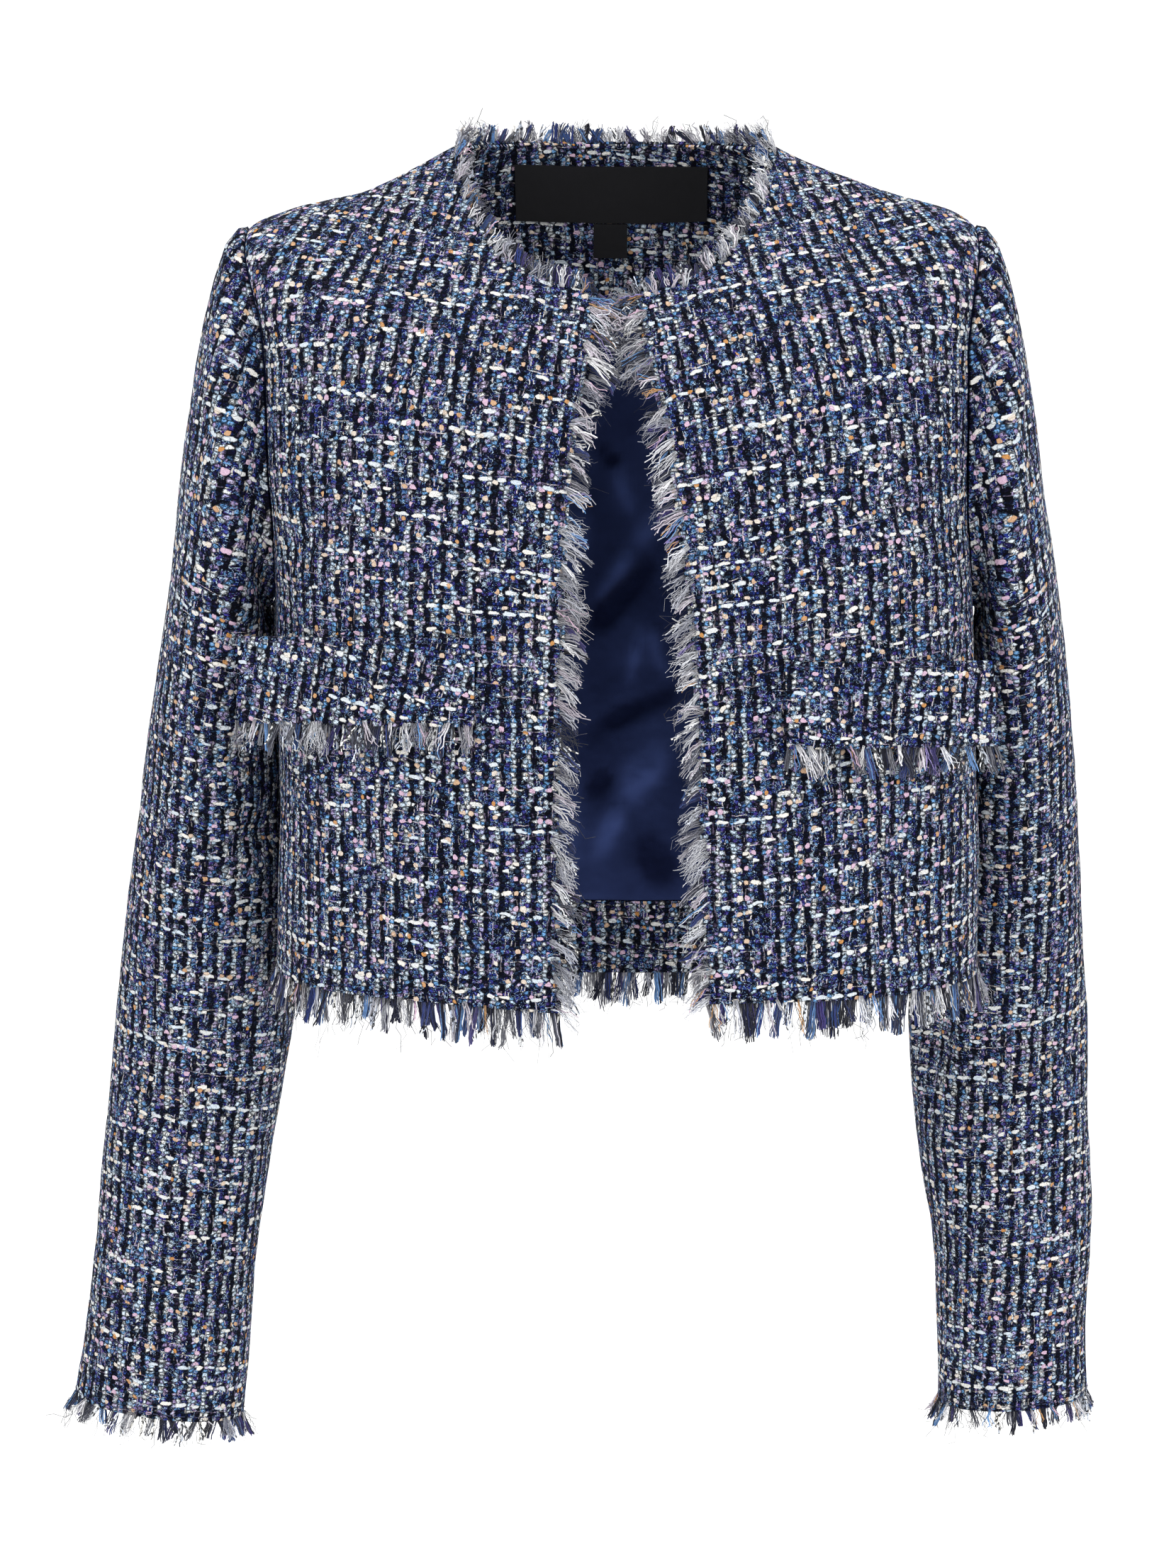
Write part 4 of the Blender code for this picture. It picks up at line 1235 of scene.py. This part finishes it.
def cut_size(skins):
    """The width and length in metres that the cloth was cut to, and its flat area."""
    faces = grid_faces(*skins.weave.shape[:2])
    flat = skins.weave.reshape(-1, 2)
    width, length = flat.max(axis=0) - flat.min(axis=0)
    return (float(width), float(length)), float(flat_area(flat, faces))


# Yarn

STRAND_SEGMENTS, STRAND_SIDES, STRAND_TAPER = 7, 3, 0.3
CURL_SIZE = 4.5
STITCH_SEGMENTS, STITCH_SIDES, STITCH_RISE = 4, 5, 2.6
ATTRIBUTE_KINDS = {1: ("FLOAT", "value"), 3: ("FLOAT_VECTOR", "vector"), 4: ("FLOAT_COLOR", "color")}


class Tree(Nodes):
    """A Geometry Nodes tree with named inputs."""

    def __init__(self, name, inputs):
        super().__init__(bpy.data.node_groups.new(name, "GeometryNodeTree"))
        face = self.tree.interface
        face.new_socket("Geometry", in_out="OUTPUT", socket_type="NodeSocketGeometry")
        for label, kind in {"Geometry": "Geometry", **inputs}.items():
            face.new_socket(label, in_out="INPUT", socket_type="NodeSocket" + kind)
        entry = self.tree.nodes.new("NodeGroupInput")
        self.entry = {socket.name: Value(self, socket) for socket in entry.outputs}

    def attribute(self, name, kind="FLOAT"):
        return self.node("GeometryNodeInputNamedAttribute", {"data_type": kind}, {"Name": name})

    def facing(self, axis, way, rotation=None, pivot="AUTO"):
        """A rotation that turns an axis to the vector that each point carries."""
        inputs = {"Vector": self.attribute(way, "FLOAT_VECTOR")}
        if rotation:
            inputs["Rotation"] = rotation
        settings = {"axis": axis, "pivot_axis": pivot}
        return self.node("FunctionNodeAlignRotationToVector", settings, inputs)

    def tube(self, line, radius, sides):
        """A closed tube along a line."""
        settings = {"Resolution": sides, "Radius": 1.0}
        circle = self.node("GeometryNodeCurvePrimitiveCircle", {}, settings)
        inputs = {"Curve": line, "Profile Curve": circle, "Scale": radius, "Fill Caps": True}
        return self.node("GeometryNodeCurveToMesh", {}, inputs)

    def close(self, geometry):
        """Realizes what the tree made and gives it its material."""
        geometry = self.node("GeometryNodeRealizeInstances", {}, {"Geometry": geometry})
        inputs = {"Geometry": geometry, "Material": self.entry["Material"]}
        geometry = self.node("GeometryNodeSetMaterial", {}, inputs)
        self.tree.links.new(geometry.socket, self.tree.nodes.new("NodeGroupOutput").inputs[0])
        return self.tree


def strand_tree():
    """Strands that grow from points, each along its own way, curling and drooping to its tip."""
    tree = Tree("frayed_strands", {"Segments": "Int", "Curl Size": "Float", "Material": "Material"})
    line = tree.node("GeometryNodeCurvePrimitiveLine", {}, {"End": (0, 0, 1)})
    count = {"Curve": line, "Count": tree.entry["Segments"] + 1}
    inputs = {
        "Points": tree.entry["Geometry"],
        "Instance": tree.node("GeometryNodeResampleCurve", {}, count),
        "Rotation": tree.facing("Z", "out"),
        "Scale": tree.attribute("reach"),
    }
    strands = tree.node("GeometryNodeInstanceOnPoints", {}, inputs)
    strands = tree.node("GeometryNodeRealizeInstances", {}, {"Geometry": strands})
    along = tree.node("GeometryNodeSplineParameter", {}, {}, "Factor")
    inputs = {"Geometry": strands, "Name": "along", "Value": along}
    strands = tree.node("GeometryNodeStoreNamedAttribute", {"data_type": "FLOAT"}, inputs)
    place = tree.node("GeometryNodeInputPosition", {}, {})
    spot = tree.scaled(place, 1 / tree.entry["Curl Size"])
    spot = tree.moved(spot, tree.attribute("own", "FLOAT_VECTOR"))
    curl = tree.moved(tree.noise(spot, 1, 3, "Color", 0.6), (-0.5, -0.5, -0.5))
    curl = tree.scaled(curl, tree.attribute("curl") * along)
    fall = tree.joined(0.0, 0.0, along * along * tree.attribute("droop") * -1)
    inputs = {"Geometry": strands, "Offset": tree.moved(curl, fall)}
    strands = tree.node("GeometryNodeSetPosition", {}, inputs)
    thick = tree.attribute("thick") * (1 - STRAND_TAPER * along)
    return tree.close(tree.tube(strands, thick, STRAND_SIDES))


def stitch_tree():
    """Short arched stitches at points, each along its own way."""
    tree = Tree("stitches", {"Length": "Float", "Thread": "Float", "Material": "Material"})
    half, thread = tree.entry["Length"] * 0.5, tree.entry["Thread"]
    inputs = {
        "Resolution": STITCH_SEGMENTS,
        "Start": tree.joined(0.0, 0.0, half * -1),
        "Middle": tree.joined(0.0, thread * STITCH_RISE),
        "End": tree.joined(0.0, 0.0, half),
    }
    arch = tree.node("GeometryNodeCurveQuadraticBezier", {}, inputs)
    inputs = {
        "Points": tree.entry["Geometry"],
        "Instance": tree.tube(arch, thread, STITCH_SIDES),
        "Rotation": tree.facing("Y", "up", tree.facing("Z", "along"), "Z"),
    }
    return tree.close(tree.node("GeometryNodeInstanceOnPoints", {}, inputs))


def grown(name, points, attributes, tree, inputs):
    """What a tree grows on points that carry attributes, as a plain mesh."""
    seeds = bpy.data.meshes.new(name)
    seeds.from_pydata(points * MM, [], [])
    for label, values in attributes.items():
        kind, field = ATTRIBUTE_KINDS[values.size // len(values)]
        made = seeds.attributes.new(label, kind, "POINT")
        made.data.foreach_set(field, values.astype(np.float32).reshape(-1))
    bearer = placed(name, seeds)
    modifier = bearer.modifiers.new("grow", "NODES")
    modifier.node_group = tree
    for socket in tree.interface.items_tree:
        if socket.name in inputs:
            modifier[socket.identifier] = inputs[socket.name]
    graph = bpy.context.evaluated_depsgraph_get()
    data = bpy.data.meshes.new_from_object(bearer.evaluated_get(graph))
    bearer.modifiers.clear()
    bpy.data.objects.remove(bearer)
    bpy.data.meshes.remove(seeds)
    data.name = name
    data.materials.clear()
    return data


# A lock of one yarn: strands, spread over the edge, half thickness, curl, reach, how loose its
# strands are, whether they are beaded, and its colours.
Yarn = namedtuple("Yarn", "strands spread thick curl reach loose beads colors")
YARNS = {
    "fluff": Yarn(20, 4.2, 0.13, 15.0, 1.0, 0.9, 0, "9a9ca8 c0c2ca 6d6f7c a5a3a8 dcdde2 4a4b58"),
    "wool": Yarn(7, 3.4, 0.44, 13.0, 0.8, 0.7, 0, "c6c8ce dcdcde a9abb6 bdb5c0 cbcacf"),
    "tape": Yarn(10, 4.2, 0.44, 5.0, 0.9, 0.12, 0, "263672 171f47 2a4476 10152e 5f86b8 3a336c 0c0f20"),
    "gauze": Yarn(10, 4.4, 0.34, 6.0, 0.95, 0.22, 0, "6f7079 8e9098 4c4e5a a3a1aa 3c3e4a"),
    "boucle": Yarn(3, 2.2, 0.55, 9.0, 0.95, 0.4, 1, "e8ebee cfd6e2 f4f2ec b4bccb"),
    "thread": Yarn(3, 2.0, 0.15, 24.0, 1.3, 1.4, 0, "12131f 1b1d30 2a2a38 0b0c14"),
    "accent": Yarn(4, 1.8, 0.28, 13.0, 0.85, 0.8, 0, "8a7eb4 5f93cc b98d5e d3b3c8 e0e6f0"),
}
# A kind of frayed edge, with its yarns' shares in the order above. cover is how far its roots
# reach over the cloth, and tangle is the length at its end where it is denser and longer.
Fray = namedtuple("Fray", "length every droop lift fall cover wild tangle shares")
FRAYS = {
    "neck": Fray(11.5, 1.8, 0.5, 0.30, 0.0, 4.0, 2.1, 0, (3, 5, 6, 3, 5, 3, 2)),
    "front": Fray(14.0, 2.5, 3.5, 0.30, 0.40, 5.0, 1.7, 47, (6, 6, 2, 3, 2, 4, 1.5)),
    "hem": Fray(21.0, 1.75, 0.0, 0.05, 0.0, 1.5, 0.9, 0, (1.5, 1.5, 8, 3, 5, 7, 2)),
    "cuff": Fray(14.5, 2.2, 0.0, 0.05, 0.0, 1.5, 1.6, 0, (1, 1, 6, 2, 4, 6, 1)),
    "flap": Fray(18.0, 2.4, 0.6, 0.10, 0.0, 2.0, 1.3, 0, (3, 3, 6, 3, 5, 4, 1)),
}
# How locks differ from each other, and the strands of a lock.
LOCK_SIZE, LOCK_REACH = (0.6, 1.3), (0.65, 1.15)
LOCK_SWEEP, LOCK_RISE, LOCK_ROUND, LOCK_FAN = 0.20, 0.16, 0.4, 0.1
STRAND_SHORT, STRAND_THICK, STRAND_CURL, STRAND_TINT = 0.35, 0.3, 0.4, 0.3
STRAND_WAY, STRAND_OWN = 0.17, 0.35
ROOT_SPREAD, ROOT_COVER = 0.4, (0.6, 1)
Strand = namedtuple("Strand", "place reach thick curl tint sweep rise over cover own beads")


def seed_of(name):
    return sum((place + 1) * ord(letter) for place, letter in enumerate(name))


def closed(edge):
    """An edge's points and directions, with the first ones again at the end of a ring."""
    lines = edge.points, edge.outs, edge.ups
    return [np.concatenate([line, line[:1]]) for line in lines] if edge.ring else lines


def read_at(line, lengths, places):
    """A line of vectors read at places along it."""
    return np.stack([np.interp(places, lengths, line[:, axis]) for axis in range(3)], axis=1)


def place_locks(rng, fray, length, fullness):
    """The yarn and the middle of each lock along an edge, with more of them in its tangle."""
    count, more = int(length / fray.every * fullness), int(fray.tangle / TANGLE_EVERY)
    weights = np.array(fray.shares, float)
    yarns = rng.choice(len(YARNS), count, p=weights / weights.sum())
    centres = (np.arange(count) + 0.5 + rng.uniform(-0.3, 0.3, count)) * length / count
    yarns = np.concatenate([yarns, rng.choice(len(YARNS), more, p=TANGLE_SHARES)])
    return yarns, np.concatenate([centres, length - rng.uniform(0, fray.tangle, more)])


def lock_strands(rng, fray, yarn, centre, tangled):
    """The strands of one lock: alike in length and lean, each a little off on its own."""
    number = max(1, round(yarn.strands * rng.uniform(*LOCK_SIZE)))
    codes = yarn.colors.split()
    colors = [np.array(linear(codes[pick])) for pick in rng.integers(len(codes), size=2)]
    sweep = rng.normal(0, LOCK_SWEEP * fray.wild)
    rise = fray.lift + abs(rng.normal(0, LOCK_RISE * fray.wild))
    reach = fray.length * yarn.reach * rng.uniform(*LOCK_REACH) * (TANGLE_REACH if tangled else 1)
    cover = fray.cover * rng.uniform(0, 1) * (yarn.loose > 0.5)
    loose = yarn.loose
    for share in np.linspace(-0.5, 0.5, number + 2)[1:-1]:
        scatter = between(share, rng.uniform(-0.5, 0.5), min(loose, 1))
        own_reach = reach * (1 - LOCK_ROUND * share * share - STRAND_SHORT * loose * rng.uniform(0, 1))
        thick = yarn.thick * (1 + STRAND_THICK * loose * rng.uniform(-1, 1))
        curl = yarn.curl * (1 + STRAND_CURL * loose * rng.uniform(-1, 1))
        color = colors[int(rng.random() < OTHER_COLOR)]
        tint = (*(color * (1 + STRAND_TINT * rng.uniform(-1, 1))), 1.0)
        own_sweep, own_rise = rng.normal(0, STRAND_WAY * loose * fray.wild, 2)
        yield Strand(
            place=centre + scatter * yarn.spread,
            reach=own_reach,
            thick=thick,
            curl=curl,
            tint=tint,
            sweep=sweep + own_sweep + LOCK_FAN * share,
            rise=rise + own_rise,
            over=rng.uniform(-ROOT_SPREAD, ROOT_SPREAD),
            cover=cover * rng.uniform(*ROOT_COVER),
            own=rng.normal(0, STRAND_OWN * loose, 3),
            beads=float(yarn.beads),
        )


def fray_edge(name, edge, fray, longest=None):
    """The frayed edge of a piece of cloth: strands in locks of one yarn each."""
    settings = bpy.context.scene.jacket_fringe
    rng = np.random.default_rng(seed_of(name))
    points, outs, ups = closed(edge)
    lengths = lengths_along(points[None], 1)[0]
    length = lengths[-1]
    kinds = list(YARNS.values())
    found = []
    for kind, centre in zip(*place_locks(rng, fray, length, settings.fullness)):
        found += lock_strands(rng, fray, kinds[kind], centre, length - centre < fray.tangle)
    strands = Strand(*(np.array(values) for values in zip(*found)))
    place = np.clip(strands.place, EDGE_TIP, length - EDGE_TIP)
    out, up = unit(read_at(outs, lengths, place)), unit(read_at(ups, lengths, place))
    along = np.cross(up, out)
    reach = strands.reach * settings.length
    if longest is not None:
        reach = np.minimum(reach, np.interp(place, lengths, longest))
    on_top = strands.cover > ROOT_DEPTH
    height = np.where(on_top, CLOTH / 2 + ROOT_DEPTH / 2, strands.over * CLOTH)
    start = read_at(points, lengths, place) + up * height[:, None]
    start = start - out * (ROOT_DEPTH + strands.cover)[:, None]
    way = out + along * strands.sweep[:, None] + up * strands.rise[:, None]
    reach = reach + strands.cover
    attributes = {
        "out": unit(way - UP * fray.fall),
        "reach": reach * MM,
        "thick": strands.thick * MM,
        "curl": strands.curl * MM * reach / fray.length,
        "droop": np.full(len(reach), fray.droop * MM) * reach / fray.length,
        "own": strands.own,
        "beads": strands.beads,
        "tint": strands.tint,
    }
    material = yarn_material()
    inputs = {"Segments": STRAND_SEGMENTS, "Curl Size": CURL_SIZE * MM, "Material": material}
    tree = bpy.data.node_groups.get("frayed_strands") or strand_tree()
    piece = finished(name, grown(name, start, attributes, tree, inputs), [material])
    return piece


def sew(name, edge, thickness=CLOTH):
    """A row of stitches beside an edge of cloth, on its outer face."""
    inside = bpy.context.scene.jacket_inside
    points, outs, ups = closed(edge)
    lengths = lengths_along(points[None], 1)[0]
    pitch = inside.stitch_length / MM * STITCH_PITCH
    places = np.arange(pitch, lengths[-1] - pitch, pitch)
    line, up = read_at(points, lengths, places), unit(read_at(ups, lengths, places))
    start = line - unit(read_at(outs, lengths, places)) * STITCH_INSET + up * (thickness / 2)
    attributes = {"along": unit(np.gradient(line, axis=0)), "up": up}
    tree = bpy.data.node_groups.get("stitches") or stitch_tree()
    material = stitch_material()
    inputs = {"Length": inside.stitch_length, "Thread": inside.thread_size, "Material": material}
    return finished(name, grown(name, start, attributes, tree, inputs), [material])


# Settings


def color_setting(name, description, code):
    return FloatVectorProperty(
        name=name, description=description, subtype="COLOR", size=3, min=0, max=1, default=linear(code)
    )


def length_setting(name, description, default):
    return FloatProperty(name=name, description=description, unit="LENGTH", min=0, default=default)


def factor_setting(name, description, most):
    return FloatProperty(
        name=name, description=description, subtype="FACTOR", min=0.1, max=most, default=1.0
    )


class JacketCloth(PropertyGroup):
    """The tweed's threads and colours."""

    repeat: length_setting("Repeat", "Distance between white columns", 0.0080)
    bead_pitch: length_setting("Bead pitch", "Distance between beads along a column", 0.0022)
    relief: length_setting("Relief", "Height of the weave", 0.0009)
    skew: FloatProperty(name="Skew", description="Rise of the slubs across the cloth", default=-0.09)
    ink: color_setting("Ink", "Ground of the cloth", "05060d")
    navy: color_setting("Navy", "Dark dyed patches", "161e47")
    royal: color_setting("Royal", "Blue dyed patches", "2b3f90")
    violet: color_setting("Violet", "Violet dyed patches", "48317e")
    steel: color_setting("Steel", "Grey blue dyed patches", "4e7aa9")
    sky: color_setting("Sky", "Light blue dyed patches", "6a9ccf")
    lilac: color_setting("Lilac", "Lilac dyed patches", "a593bd")
    pale: color_setting("Pale", "Pale blue loops and threads", "b7cfe6")
    cream: color_setting("Cream", "White beads and slubs", "ece7de")
    tan: color_setting("Tan", "Tan flecks", "c98e4e")
    pink: color_setting("Pink", "Pink flecks", "d9b9cf")


class JacketFringe(PropertyGroup):
    """The frayed edges."""

    fullness: factor_setting("Fullness", "How many locks the edges have", 2)
    length: factor_setting("Length", "Length of the strands", 1.5)


class JacketInside(PropertyGroup):
    """The lining, the labels and the sewing."""

    # The lining's paler colour carries painted light on its crests, its darker colour painted shade in
    # its valleys.
    satin: color_setting("Satin", "Lining", "3d4b7c")
    satin_painted_shade: color_setting("Satin shade", "Lining's darker parts", "151a33")
    ribbon: color_setting("Ribbon", "Labels", "060609")
    thread: color_setting("Thread", "Sewing thread", "12142a")
    stitch_length: length_setting("Stitch length", "Length of one stitch", 0.0024)
    thread_size: length_setting("Thread size", "Half the thickness of the thread", 0.00024)


class JacketStage(PropertyGroup):
    """The camera and the studio."""

    distance: length_setting("Distance", "From the camera to the jacket", 2.4)
    lens: FloatProperty(
        name="Lens", description="Focal length", subtype="DISTANCE_CAMERA", default=105.28
    )
    floor: color_setting("Floor", "Floor and backdrop", "fcfcfc")


# Pieces


def hang(skins, node, rests_on=()):
    """Hides the part that a piece of cloth stands for, and works out the size it was cut to."""
    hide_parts(node)
    flat, area = cut_size(skins)
    rests_on = [bpy.data.objects[name] for name in rests_on]


def fringe(node, edge, kind, longest=None):
    piece = fray_edge("frayed_" + node, edge, FRAYS[kind], longest)
    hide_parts("fringe_" + node)
    return piece


def lined_area(weave, rows, from_edge):
    """Where satin covers a front's inner side: behind its facing, below the neck, above the hem."""
    far = np.abs(weave[..., 0] - weave[:, :1, 0]) > from_edge
    return far & (rows > LINED_FROM_ROW) & (rows < LINED_TO_ROW)


class JACKET_OT_fronts(Operator):
    """Makes the two tweed fronts with their frayed edges"""

    bl_idname = "jacket.fronts"
    bl_label = "Fronts"

    def execute(self, context):
        for side in SIDES:
            skins = front_skins(side)
            rows = fine_rows()[:, None]
            lined = lined_area(skins.weave, rows, FACING_WIDTH * MM)
            materials = [tweed_material(), satin_material()]
            front = cloth_piece("tweed_front_" + side, skins, materials, lined)
            gap = (body("left_edge", rows) - body("right_edge", rows))[:, 0] / 2
            longest = gap + FRINGE_MEETS + TANGLE_MEETS * (rows[:, 0] > TANGLE_ROW)
            front_edge = column_edge(skins, 0, len(EDGE_COLUMNS) - 1)
            edges = [
                fringe("hem_" + side, row_edge(skins, 0), "hem"),
                fringe("neck_" + side, row_edge(skins, -1), "neck"),
                fringe("front_" + side, front_edge, "front", longest),
                sew("stitched_front_" + side, front_edge),
            ]
            hang(skins, "front_" + side)
        return {"FINISHED"}


class JACKET_OT_back(Operator):
    """Makes the tweed back with its frayed hem and neck"""

    bl_idname = "jacket.back"
    bl_label = "Back"

    def execute(self, context):
        skins = back_skins()
        back = cloth_piece("tweed_back", skins, [tweed_material()])
        edges = [
            fringe("hem_back", row_edge(skins, 0), "hem"),
            fringe("neck_back", row_edge(skins, -1), "neck"),
        ]
        hang(skins, "back")
        return {"FINISHED"}


class JACKET_OT_sleeves(Operator):
    """Makes the two sleeves with their frayed cuffs"""

    bl_idname = "jacket.sleeves"
    bl_label = "Sleeves"

    def execute(self, context):
        for side in SIDES:
            skins = sleeve_skins(side)
            height = lengths_along(skins.outer, 0)
            lined = height < height[-1:] - CUFF_FACING
            lined = np.concatenate([lined, lined[:, :1]], axis=1)
            materials = [tweed_material(), satin_material()]
            sleeve = cloth_piece("tweed_sleeve_" + side, skins, materials, lined)
            cuff = row_edge(skins, -1, ring=True)
            edges = [fringe("cuff_" + side, cuff, "cuff"), sew("stitched_cuff_" + side, cuff)]
            hang(skins, "sleeve_" + side)
        return {"FINISHED"}


class JACKET_OT_flaps(Operator):
    """Makes the two flaps, sewn on along their tops, with their frayed lower edges"""

    bl_idname = "jacket.flaps"
    bl_label = "Flaps"

    def execute(self, context):
        for side in SIDES:
            skins = flap_skins(side)
            flap = cloth_piece("tweed_flap_" + side, skins, [tweed_material()])
            edges = [
                fringe("flap_" + side, row_edge(skins, 0), "flap"),
                sew("stitched_flap_" + side, row_edge(skins, -1), FLAP_CLOTH),
            ]
            hang(skins, "flap_" + side, ["tweed_front_" + side])
        return {"FINISHED"}


class JACKET_OT_inside(Operator):
    """Makes the tweed facings and the satin lining between them"""

    bl_idname = "jacket.inside"
    bl_label = "Inside"

    def execute(self, context):
        hem_top = float(row_at(HEM_FACING_TOP))
        facings = {
            "neck_facing": facing_skins(np.linspace(SHOULDER_TIP, NECKLINE, NECK_FACING_ROWS)),
            "hem_facing": facing_skins(np.linspace(HEM, hem_top, HEM_FACING_ROWS)),
        }
        for node, skins in facings.items():
            facing = cloth_piece("tweed_" + node, skins, [tweed_material()])
            hang(skins, node, ["tweed_back"])
        skins, folds = lining_skins()
        lining = cloth_piece("satin_lining_back", skins, [satin_material()], folds=folds)
        hang(skins, "lining", ["tweed_neck_facing"])
        return {"FINISHED"}


class JACKET_OT_labels(Operator):
    """Makes the two bare woven labels at the back neck"""

    bl_idname = "jacket.labels"
    bl_label = "Labels"

    def execute(self, context):
        for label in LABELS:
            skins = label_skins(label)
            ribbon = cloth_piece("ribbon_" + label.node, skins, [ribbon_material()])
            hang(skins, label.node, ["tweed_neck_facing"])
        return {"FINISHED"}


class JACKET_OT_stage(Operator):
    """Makes the floor, the soft studio light and the camera"""

    bl_idname = "jacket.stage"
    bl_label = "Stage"

    def execute(self, context):
        make_floor(context.scene.jacket_stage)
        make_lights(context.scene)
        make_camera(context.scene)
        context.scene.view_settings.view_transform = "Standard"
        return {"FINISHED"}


def make_floor(stage):
    """A pale floor that curves up into a backdrop behind the jacket."""
    graph = Graph("studio_floor")
    place = graph.node("ShaderNodeTexCoord", {}, {}, "Object")
    soft = graph.noise(place, 0.6, 2)
    color = graph.shade(stage.floor, 0.985 + 0.03 * (soft - 0.5))
    material = graph.finish(Base_Color=color, Roughness=0.9)
    angles = np.linspace(0, math.pi / 2, FLOOR_STEPS)
    bend = [(FLOOR_BACK + FLOOR_BEND * math.sin(a), FLOOR_BEND * (1 - math.cos(a))) for a in angles]
    profile = [(FLOOR_FRONT, 0), *bend, (FLOOR_BACK + FLOOR_BEND, FLOOR_TOP)]
    lines = [[(x, y, z + FLOOR_HEIGHT) for x in (-FLOOR_HALF, FLOOR_HALF)] for y, z in profile]
    points = np.array(lines).reshape(-1, 3)
    data = bpy.data.meshes.new("floor")
    data.from_pydata(points, [], grid_faces(len(lines), 2))
    data.materials.append(material)
    data.shade_smooth()
    floor = placed("floor", data)


Lamp = namedtuple("Lamp", "name place size power")
LAMP_TARGET = (0, 0, -0.33)
LAMPS = [
    Lamp("key", (-1.7, -2.6, 1.5), 2.2, 50),
    Lamp("fill", (2.1, -2.4, 0.7), 2.4, 38),
    Lamp("top", (0.0, 0.3, 2.4), 2.0, 27),
    Lamp("rim", (0.0, 2.0, 1.2), 1.8, 22),
]


def aim(thing, place, target):
    thing.location = place
    thing.rotation_euler = (Vector(target) - Vector(place)).to_track_quat("-Z", "Y").to_euler()


def make_lights(scene):
    """Large soft lamps round the jacket, and an even pale surrounding."""
    for lamp in LAMPS:
        light = bpy.data.lights.new(lamp.name, "AREA")
        light.shape = "SQUARE"
        light.size = lamp.size
        light.energy = lamp.power
        aim(placed(lamp.name, light), lamp.place, LAMP_TARGET)
    world = scene.world or bpy.data.worlds.new("studio")
    scene.world = world
    world.use_nodes = True
    sky = world.node_tree.nodes["Background"]
    sky.inputs["Color"].default_value = (1, 1, 1, 1)
    sky.inputs["Strength"].default_value = WORLD_STRENGTH


def make_camera(scene):
    """The camera, in front of the jacket and a little above its middle."""
    stage = scene.jacket_stage
    data = bpy.data.cameras.new("camera")
    data.sensor_width = SENSOR_WIDTH
    data.lens = stage.lens
    camera = placed("camera", data)
    rise = math.radians(CAMERA_RISE)
    target = Vector(CAMERA_TARGET) * MM
    place = target + Vector((0, -math.cos(rise), math.sin(rise))) * stage.distance
    aim(camera, place, target)
    scene.camera = camera


SETTINGS = {
    "jacket_cloth": JacketCloth,
    "jacket_fringe": JacketFringe,
    "jacket_inside": JacketInside,
    "jacket_stage": JacketStage,
}
OPERATORS = [
    JACKET_OT_fronts,
    JACKET_OT_back,
    JACKET_OT_sleeves,
    JACKET_OT_flaps,
    JACKET_OT_inside,
    JACKET_OT_labels,
    JACKET_OT_stage,
]


class JACKET_PT_pieces(Panel):
    """The jacket's settings and pieces"""

    bl_label = "Jacket"
    bl_idname = "JACKET_PT_pieces"
    bl_space_type = "VIEW_3D"
    bl_region_type = "UI"
    bl_category = "Jacket"

    def draw(self, context):
        for name, group in SETTINGS.items():
            box = self.layout.box()
            for setting in group.__annotations__:
                box.prop(getattr(context.scene, name), setting)
        for operator in OPERATORS:
            self.layout.operator(operator.bl_idname)


def register():
    for group in (*SETTINGS.values(), *OPERATORS, JACKET_PT_pieces):
        bpy.utils.register_class(group)
    for name, group in SETTINGS.items():
        setattr(bpy.types.Scene, name, PointerProperty(type=group))


def unregister():
    for name in SETTINGS:
        delattr(bpy.types.Scene, name)
    for group in reversed((*SETTINGS.values(), *OPERATORS, JACKET_PT_pieces)):
        bpy.utils.unregister_class(group)


def main():
    register()
    bpy.ops.jacket.stage()
    bpy.ops.jacket.fronts()
    bpy.ops.jacket.back()
    bpy.ops.jacket.sleeves()
    bpy.ops.jacket.flaps()
    bpy.ops.jacket.inside()
    bpy.ops.jacket.labels()


if __name__ == "__main__":
    main()
